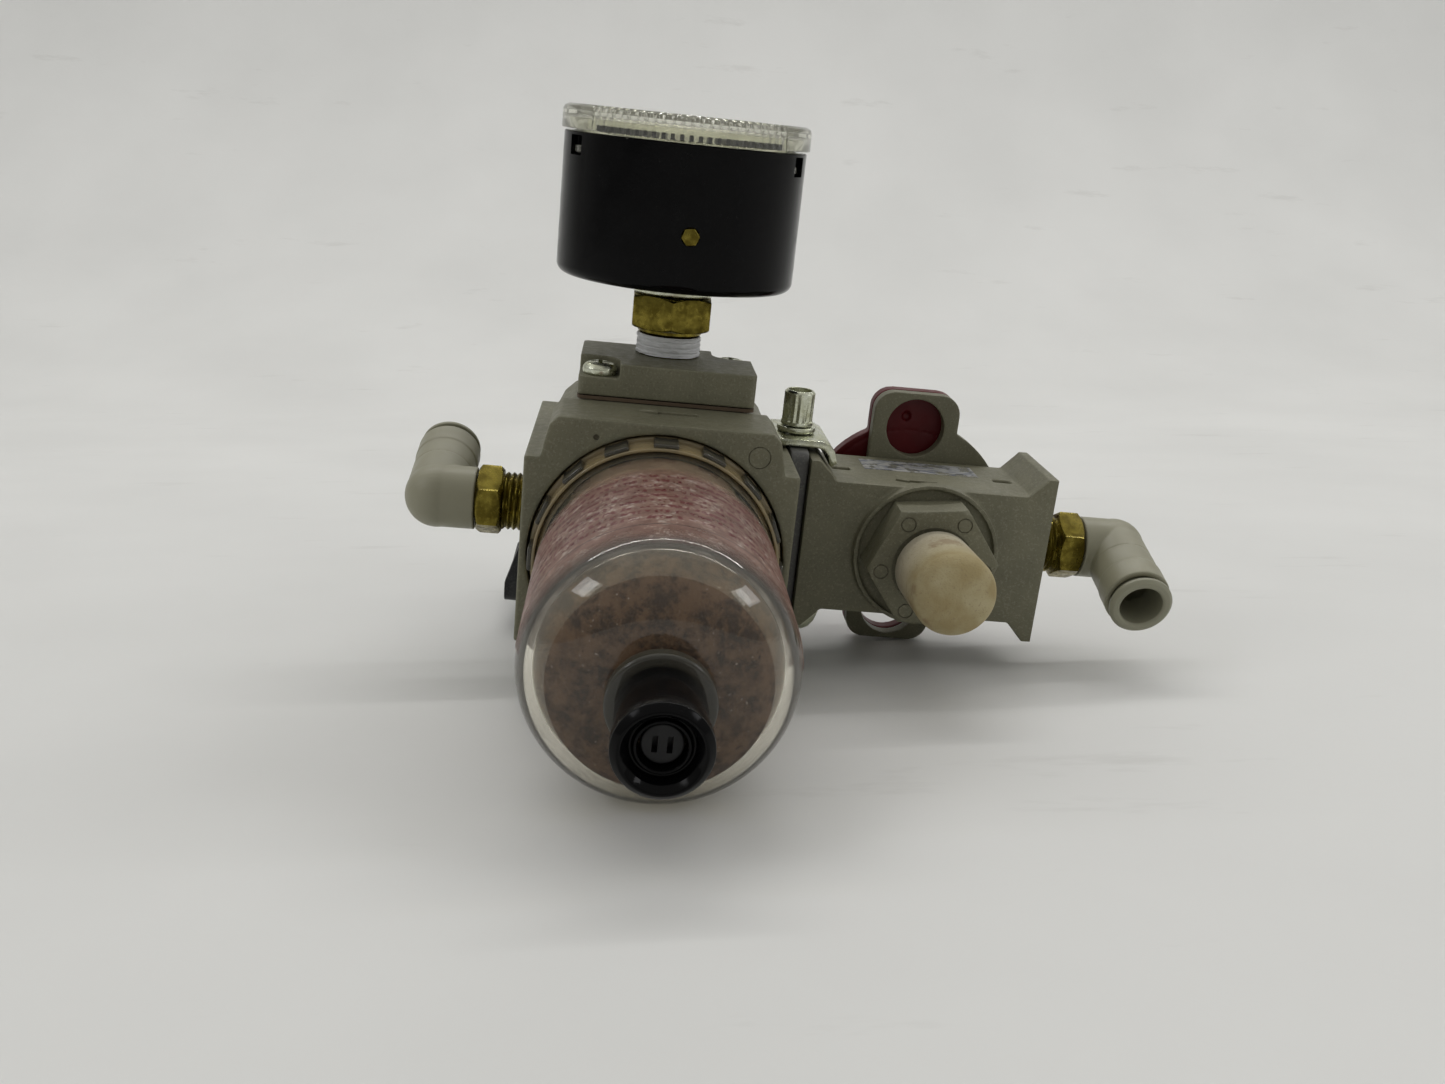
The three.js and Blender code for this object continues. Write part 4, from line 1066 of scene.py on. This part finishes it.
fixed(spacer_body(), "spacer_plate", SPACER, "spacer_grey", "spacer_body")
fixed(clamp_plate(1), "clamp_hook_upper", ZINC, "zinc", "clamp_front")
fixed(clamp_plate(-1), "clamp_hook_lower", ZINC, "zinc", "clamp_rear")
WASHER_LOW, WASHER_HIGH = span("clamp_washer", "z")
fixed(ring(1.3, 3.1, WASHER_LOW, WASHER_HIGH, "z", (JOINT_X, -1), 64, 0.3), "clamp_collar", ZINC,
      "zinc", "clamp_washer")
fixed(knurled_screw("clamp_screw", 1), "knurled_screw", ZINC, "zinc", "clamp_screw")
fixed(knurled_screw("clamp_screw_rear", -1), "knurled_screw_rear", ZINC, "zinc", "clamp_screw_rear")


# ---- shut-off valve ----
VALVE_HALF = INLET_FACE - VALVE_X
VALVE_CORE = 10.7
VALVE_NEAR = -11.0
VALVE_FAR = span("valve_body", "y")[1]
LOCK_REACH = 22.0
LOCK_HALF = 7.3
LOCK_CENTRE = 16.1
LOCK_HOLE = 4.9
COVER_LOW, COVER_HIGH = 7.6, 10
KNOB_LOW, KNOB_HIGH = 10.3, 12.8
CAP_ROOT = -9.8


def valve_body():
    outer, ridge = VALVE_HALF - 0.05, 13.75
    section = mirrored_section([(outer, ridge), (outer - 1.5, ridge), (outer - 4.3, VALVE_CORE)])
    body = prism(shifted(section, VALVE_X, 0), "y", VALVE_NEAR, VALVE_FAR)
    joined(body, rod(11.55, VALVE_NEAR - 1.35, VALVE_NEAR + 1, "y", VALVE_AXIS, 96))
    tools = [
        rod(10.85, VALVE_NEAR - 2, -11.5, "y", VALVE_AXIS, 96),
        rod(7.8, -10, VALVE_FAR + 1, "y", VALVE_AXIS),
        rod(5.15, INLET_FACE - 9, INLET_FACE + 1, "x"),
        rod(4.5, VALVE_X - VALVE_HALF - 1, VALVE_X - 10, "x"),
    ]
    for x in (-13.5, 13.2):
        tools.append(block(VALVE_X + x - 1.5, VALVE_X + x + 1.5, -3.2, -1.5, VALVE_CORE - 1, 14))
    carved(body, *tools)
    cast(body, 0.22, 3)
    return joined(body, flow_arrow(0.7, VALVE_X - 2, -7.6, VALVE_CORE - 0.05))


def lock_bar(low, high):
    return prism(shifted(rounded_box(LOCK_HALF, LOCK_REACH, 3.4), VALVE_X, 0), "y", low, high)


def lock_hole(across, up):
    return rod(LOCK_HOLE, 6, 15, "y", (VALVE_X + across, up), 64)


def valve_cover():
    cover = lock_bar(COVER_LOW, COVER_HIGH)
    upper = [(0, 0)] + arc((0, 0), 17.25, 0, 90, 24)
    lower = [(-u, -v) for u, v in upper]
    joined(
        cover,
        prism(shifted(upper, VALVE_X, 0), "y", COVER_LOW, COVER_HIGH),
        prism(shifted(lower, VALVE_X, 0), "y", COVER_LOW, COVER_HIGH),
        rod(10.6, COVER_LOW, COVER_HIGH, "y", VALVE_AXIS),
    )
    holes = (lock_hole(0, LOCK_CENTRE), lock_hole(0, -LOCK_CENTRE))
    carved(cover, rod(4.3, 7, 11, "y", VALVE_AXIS), *holes)
    return cast(cover, 0.17, 4)


def valve_knob():
    knob = rod(16.15, KNOB_LOW, KNOB_HIGH, "y", VALVE_AXIS, 96)
    ears = prism(shifted(rounded_box(LOCK_REACH, LOCK_HALF, 3.4), VALVE_X, 0), "y", KNOB_LOW, KNOB_HIGH)
    grip = prism(shifted(rounded_box(5.6, 11, 5), VALVE_X, 0), "y", 12.6, 29)
    joined(knob, lock_bar(KNOB_LOW, KNOB_HIGH), ears, grip)
    carved(
        knob,
        rod(4.3, 9, 23, "y", VALVE_AXIS),
        lock_hole(LOCK_CENTRE, 0),
        lock_hole(-LOCK_CENTRE, 0),
        lock_hole(0, -LOCK_CENTRE),
        rod(0.8, 9.8, 10.9, "y", (VALVE_X - 1.2, LOCK_CENTRE + 1.4), 24),
        ring(15.0, 15.3, 9.8, 10.5, "y", VALVE_AXIS, 96, 0),
    )
    return cast(knob, 0.22, 4)


def exhaust_cap():
    face, flats, corner = span("exhaust_cap", "y")[0], 18, 10.45
    cap = prism(shifted(hexagon(flats, 6), VALVE_X, 0), "y", face, CAP_ROOT)
    limit = [(0, face), (corner - 0.75, face), (corner, face + 0.55), (corner, CAP_ROOT), (0, CAP_ROOT)]
    trimmed(cap, turned(limit, "y", VALVE_AXIS))
    joined(cap, rod(7.5, -9.9, -6.6, "y", VALVE_AXIS))
    carved(cap, rod(4.6, face - 1, -12, "y", VALVE_AXIS))
    cast(cap, 0.15, 2)
    tools = [rod(6.4, face - 1, face + 0.35, "y", VALVE_AXIS)]
    for degrees in (61, 126, 189, 246, 307, 359):
        angle = radians(degrees)
        spot = (VALVE_X + 8.1 * cos(angle), 8.1 * sin(angle))
        tools.append(ring(1.0, 1.2, face - 1, face + 0.16, "y", spot, 40, 0))
    return carved(cap, *tools)


def silencer():
    shoulder = span("exhaust_cap", "y")[0] - 0.4
    outline = [(0, 5.5), (4, 5.5), (4, 0.2), (5.9, 0), (6.15, -0.4),
               (6.2, -3), (6.25, -8), (6.25, -11.4)]
    outline += [(6.25 * cos(a) ** 0.8, -11.4 - 3.1 * sin(a))
                for a in (radians(7.5 * i) for i in range(1, 12))]
    outline += [(0, -14.5)]
    plug = turned(outline, "y", (0, 0), 128)
    return swung(plug, 3, "Z", (VALVE_X, shoulder, 0))


fixed(valve_body(), "valve_casting", CAST, "cast_grey", "valve_body")
fixed(valve_cover(), "cover_plate", CAST, "cast_grey", "valve_cover")
place(valve_knob(), "red_knob", RED, "valve_knob", "red_plastic", "valve_knob")
fixed(exhaust_cap(), "hex_cap", CAST, "cast_grey", "exhaust_cap")
fixed(silencer(), "porous_plug", POROUS, "porous_cream", "silencer")
fixed(block(VALVE_X - 9.5, VALVE_X + 9.5, -1.5, 5.0, VALVE_CORE - 0.05, VALVE_CORE + 0.06),
      "worn_strip", STRIP, "cast_grey")


# ---- push-in elbows ----
ELBOW_RADIUS = 5.2
ELBOW_REACH = 15.0
ELBOW_LEG = 14.6
TUBE_BORE = 3.4


def elbow_shell():
    """Drawn with the port face at x = 0 and the mouth towards -Y."""
    reach = ELBOW_REACH
    shell = rod(ELBOW_RADIUS - 0.15, 8.7, reach, "x", (0, 0), 64)
    half_round = [(max(u, 0), v) for u, v in arc((0, 0), ELBOW_RADIUS - 0.05, -90, 90, 20)]
    ball = moved(turned(half_round, "y"), Matrix.Translation((reach, 0, 0)))
    joined(
        shell,
        ball,
        rod(ELBOW_RADIUS - 0.15, -ELBOW_LEG, 0, "y", (reach, 0)),
        rod(ELBOW_RADIUS, -ELBOW_LEG, -ELBOW_LEG + 4.2, "y", (reach, 0)),
    )
    carved(
        shell,
        rod(3.7, 8, 13.3, "x"),
        rod(4.3, -ELBOW_LEG - 1, -6, "y", (reach, 0)),
        ring(4.9, 6, -6.3, -6.0, "y", (reach, 0), 64, 0),
    )
    return cast(shell, 0.17, 3)


def release_button():
    mouth = -ELBOW_LEG - 1.1
    outline = softened([
        (TUBE_BORE, mouth + 5.6), (TUBE_BORE, mouth - 0.9), (TUBE_BORE + 0.35, mouth - 1.2),
        (ELBOW_RADIUS - 0.7, mouth - 1.2),
        (ELBOW_RADIUS - 0.2, mouth - 0.7), (ELBOW_RADIUS - 0.2, mouth),
        (4, mouth), (4, mouth + 5.6),
    ], 0.3, 4)
    return turned(outline, "y", (ELBOW_REACH, 0), 96)


def stud():
    limit = [(0, 4.5), (5.0, 4.5), (5.8, 5.0), (5.8, 7.9), (5.0, 8.4), (0, 8.4)]
    flats = bevelled(turned_hexagon(10, "x", limit), 0.12, 2)
    steps = 90
    outline = [(0, -6), *((4.7, -6 + 10.6 * i / steps) for i in range(steps + 1)), (0, 4.6)]

    def helix(angle, radius, along):
        if radius < 4.6:
            return 0
        phase = (along / THREAD_PITCH + angle / (2 * pi)) % 1
        return -0.42 * abs(2 * phase - 1) ** 1.2

    thread = turned(outline, "x", (0, 0), 64, helix)
    neck = rod(3.4, 8.3, 13, "x")
    return gathered("stud", [flats, thread, neck])


def sealant():
    def ragged(angle, radius, along):
        spot = Vector((cos(angle) * 3, sin(angle) * 3, along * 2))
        return 0.22 * noise.noise(spot * 0.9) if radius > 4.8 else 0

    outline = [(4.45, 0.05), (4.95, 0.05), (5.05, 0.4), (4.9, 0.9), (4.45, 1.3)]
    return turned(outline, "x", (0, 0), 96, ragged)


# The outlet's elbow is the inlet's turned about, and each is tilted about its stud.
for end, face, turn, tilt in (("inlet", INLET_FACE, 0, 15), ("outlet", OUTLET_FACE, pi, -14)):
    seat = Matrix.Translation((face, 0, 0)) @ Matrix.Rotation(turn, 4, "Z")
    swivel = Matrix.Rotation(radians(tilt), 4, "X")
    fixed(moved(stud(), seat), end + "_brass_stud", BRASS, "brass", end + "_stud")
    fixed(moved(sealant(), seat), end + "_sealant", TAPE, "white_plastic")
    place(moved(elbow_shell(), seat @ swivel), end + "_elbow_shell", ELBOW, end + "_elbow",
          "elbow_grey", end + "_elbow")
    place(moved(release_button(), seat @ swivel), end + "_button", BUTTON, end + "_button",
          "button_grey", end + "_release_button")


# ---- bonnet, knob and bracket ----
def bonnet():
    outline = [(15.6, 14.9), (19.75, 14.9), (19.75, 18.2), (19.0, 19.0), (16.5, 19.0)]
    for i in range(12):
        outline += [(16.5, 19.4 + i), (16.1, 19.9 + i)]
    outline += [
        (16.3, 31.4), (15.7, 32.2), (9.5, 33.5), (9.5, 46.0), (3.6, 46.0), (3.6, 42.5), (6.2, 42.5),
        (6.2, 33.0), (11.4, 30.5), (11.4, 17.5), (13.4, 16.0),
    ]
    return turned(softened(outline, 0.2, 2), "y", (0, 0), 128)


def panel_nut():
    nut = ring(16.8, 20.55, 21.95, 26.6, "y", (0, 0), 128, 0.4)
    notches = [swung(block(-1.5, 1.5, 21, 28, 19.0, 22), 45 * i) for i in range(8)]
    return bevelled(carved(nut, *notches), 0.12, 2, 50)


def adjusting_knob():
    near, far, radius = 37, 67, 15.0
    outline = softened([
        (4.3, 47.6), (10.6, 47.6), (10.6, near), (radius, near), (radius, far - 2.5),
        (radius - 0.8, far - 0.9), (radius - 2.5, far), (0, far), (0, 60), (4.3, 60),
    ], 0.5, 4)

    def flutes(angle, r, along):
        if r < radius - 1.2 or along > far - 3:
            return 0
        return -0.75 * max(0.0, cos(20 * angle)) ** 3

    dense = []
    for i, point in enumerate(outline):
        after = outline[(i + 1) % len(outline)]
        dense.append(point)
        if abs(after[1] - point[1]) > 6 and point[0] > radius - 1:
            dense += [(point[0], point[1] + (after[1] - point[1]) * t / 12) for t in range(1, 12)]
    return turned(dense, "y", (0, 0), 480, flutes)


def mounting_bracket():
    foot, sheet = span("mounting_bracket", "z")[0], 2.3
    near, far = span("mounting_bracket", "y")
    half = span("mounting_bracket", "x")[1]
    bend = 2.6
    corner = (near + bend, foot + bend)
    profile = arc(corner, bend, 180, 270, 8)
    profile += [(far, foot), (far, foot + sheet)]
    profile += arc((near + bend + 0.1, foot + bend + 0.1), bend - sheet + 0.1, 270, 180, 4)
    profile += [(near + sheet, 22), (near, 22)]
    bracket = prism(profile, "x", -half, half)
    front = [(-half, foot - 1), (half, foot - 1), (half, foot + 4), (20.3, -6)]
    front += arc((0, 0), 21.15, -16.5, 196.5, 48) + [(-half, foot + 4)]
    plan = [(-half, 0), (half, 0)]
    plan += arc((half - 3, far - 3), 3, 0, 90, 8) + arc((-half + 3, far - 3), 3, 90, 180, 8)
    trimmed(bracket, prism(front, "y", near - 5, far + 5))
    trimmed(bracket, prism(plan, "z", foot - 5, 30))
    tools = [rod(16.8, near - 5, near + 5, "y", (0, 0), 96)]
    for y in (31, 43):
        for x in (-15, 15):
            tools.append(prism(shifted(rounded_box(6, 2.7, 2.69), x, y), "z", foot - 2, foot + 6))
    carved(bracket, *tools)
    return bevelled(bracket, 0.2, 2, 50)


def rear_plug():
    low = span("rear_plug", "z")[0]
    plug = rod(4.86, low, -13.2, "z", GAUGE_AXIS, 64, 0.3)
    return carved(plug, prism(shifted(hexagon(4), 0, GAUGE_Y), "z", low - 1, low + 3))


fixed(bonnet(), "bonnet_shell", MATT_BLACK, "black_plastic", "bonnet")
fixed(panel_nut(), "ring_nut", MATT_BLACK, "black_plastic", "panel_nut")
place(adjusting_knob(), "fluted_knob", MATT_BLACK, "knob", "black_plastic", "adjusting_knob")
fixed(mounting_bracket(), "bent_bracket", BLACK_STEEL, "black_steel", "mounting_bracket")
fixed(rear_plug(), "socket_plug", ZINC, "zinc", "rear_plug")


# ---- springs and the CAD pieces that stay ----
def spring(node, wire, turns):
    """A compression spring in place of a CAD one, with its end coils closed."""
    x, z = centre_of(node, "x"), centre_of(node, "z")
    low, high = span(node, "y")
    radius = half_width(node, "x") - wire
    low, high = low + wire, high - wire
    curve = bpy.data.curves.new("spring", "CURVE")
    curve.dimensions = "3D"
    curve.bevel_depth = wire
    curve.bevel_resolution = 3
    curve.use_fill_caps = True
    line = curve.splines.new("POLY")
    steps = int(turns * 36)
    line.points.add(steps)
    for i, point in enumerate(line.points):
        angle = 2 * pi * turns * i / steps
        rise = min(max((turns * i / steps - 1) / (turns - 2), 0), 1)
        coil = min(turns * i / steps, 1) + max(turns * (i / steps - 1) + 1, 0)
        along = low + 2.02 * wire * coil + (high - low - 4.04 * wire) * rise
        point.co = (x + radius * cos(angle), along, z + radius * sin(angle), 1)
    return meshed("coil", curve)


def squeezed(obj, node):
    """Gives the spring its own mesh; the node's box and a point at its near end are found but not used.
    """
    low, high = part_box(node)
    anchor = middle(node)
    anchor.y = low.y
    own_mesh(obj)


SPRINGS = (
    ("adjusting_spring", "main_spring", 1.0, 7, "knob_turn", 3.0),
    ("poppet_spring", "small_spring", 0.35, 6, "poppet_slide", 0.6),
)
for node, name, wire, turns, joint, travel in SPRINGS:
    coil = fixed(spring(node, wire, turns), name, STEEL, "steel", node)
    squeezed(coil, node)

FINISHES = {
    "adjusting_screw": STEEL, "adjusting_nut": STEEL, "spring_seat": STEEL,
    "gauge_movement": BRASS, "valve_stem": STEEL, "diaphragm": RUBBER,
    "bowl_seal": RUBBER, "spacer_seal": RUBBER, "adapter_gasket": GASKET, "poppet": BRASS,
    "bourdon_tube": BRASS, "valve_spool": BRASS, "valve_guide": MATT_BLACK, "deflector": WHITE,
    "filter_element": FILTER, "baffle": WHITE, "gauge_pointer": INK,
}
for node, look in FINISHES.items():
    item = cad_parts[node]
    item.data.materials.clear()
    item.data.materials.append(look)


# ---- floor, light and camera ----
def local(x, y, z):
    return TO_FRAME @ Vector((x, y, z))


def studio_floor():
    """A pale sheet that lies under the object, a little askew to it, and curves up behind."""
    slope_x, slope_y, height = 0.087, -0.127, -25.2
    ahead = Vector((0, 1, slope_y)).normalized()
    across = Vector((1, 0, slope_x)).normalized()
    up = across.cross(ahead)
    flat_end, bend, top = 420, 380, 900
    profile = [(-900, 0), (-300, 0), (0, 0), (200, 0)]
    profile += [(flat_end + bend * sin(a), bend - bend * cos(a))
                for a in (radians(3 * i) for i in range(26))]
    profile += [(profile[-1][0] + top * 0.3, profile[-1][1] + top)]
    columns = [-2200, -700, 0, 700, 2200]
    under = Vector((0, 0, height))
    vertices = [under + across * u + ahead * v + up * w for v, w in profile for u in columns]
    count = len(columns)
    faces = []
    for i in range(len(profile) - 1):
        for k in range(count - 1):
            corner = i * count + k
            faces.append((corner, corner + 1, corner + count + 1, corner + count))
    mesh = bpy.data.meshes.new("floor")
    mesh.from_pydata([tuple(v) for v in vertices], [], faces)
    mesh.transform(TO_FRAME)
    mesh.materials.append(floor_look())
    for polygon in mesh.polygons:
        polygon.use_smooth = True
    linked("floor", mesh)


def area_light(name, spot, size, power, tint):
    data = bpy.data.lights.new(name, "AREA")
    data.shape = "RECTANGLE"
    data.size, data.size_y = size
    data.energy = power
    data.color = tint
    light = linked(name, data)
    light.location = spot
    light.rotation_euler = (local(0, 0, 0) - spot).to_track_quat("-Z", "Y").to_euler()


def sky():
    world = bpy.data.worlds.new("studio")
    world.use_nodes = True
    tree = world.node_tree
    background = tree.nodes["Background"]
    background.inputs["Color"].default_value = (1.0, 0.985, 0.94, 1)
    toward = tree.nodes.new("ShaderNodeVectorMath")
    toward.operation = "DOT_PRODUCT"
    tree.links.new(tree.nodes.new("ShaderNodeTexCoord").outputs["Generated"], toward.inputs[0])
    toward.inputs[1].default_value = (0, 0.6, 0.8)
    glow = tree.nodes.new("ShaderNodeMapRange")
    glow.inputs["From Min"].default_value = -0.45
    glow.inputs["From Max"].default_value = 0.4
    glow.inputs["To Min"].default_value = 0.2
    glow.inputs["To Max"].default_value = 0.51
    tree.links.new(toward.outputs["Value"], glow.inputs["Value"])
    tree.links.new(glow.outputs["Result"], background.inputs["Strength"])
    bpy.context.scene.world = world


def photo_camera():
    azimuth, down, roll = radians(5.36), radians(17.6), radians(6.1)
    level = cos(down)
    forward = Vector((sin(azimuth) * level, cos(azimuth) * level, -sin(down)))
    sideways = forward.cross(Vector((0, 0, 1))).normalized()
    upright = sideways.cross(forward)
    right = sideways * cos(roll) + upright * sin(roll)
    up = right.cross(forward)
    turn = Matrix((right, up, -forward)).transposed().to_4x4()
    data = bpy.data.cameras.new("camera")
    data.sensor_width = 36
    data.lens = 32.92
    data.clip_start = 0.01
    camera = linked("camera", data)
    camera.matrix_world = Matrix.Translation(local(-7.66, -207.83, 62.04)) @ turn
    bpy.context.scene.camera = camera


bpy.context.scene.view_settings.view_transform = "Standard"
studio_floor()
area_light("overhead", local(-100, 300, 1200), (1.4, 1.0), 1.0, (1.0, 0.98, 0.95))
area_light("strip", local(0, 660, 900), (1.9, 0.03), 4.5, (1.0, 0.99, 0.97))
area_light("front_left", local(-1050, -330, 800), (0.5, 0.3), 1.7, (0.98, 0.98, 1.0))
area_light("front_right", local(1100, -280, 800), (0.5, 0.3), 1.7, (0.98, 0.98, 1.0))
sky()
photo_camera()
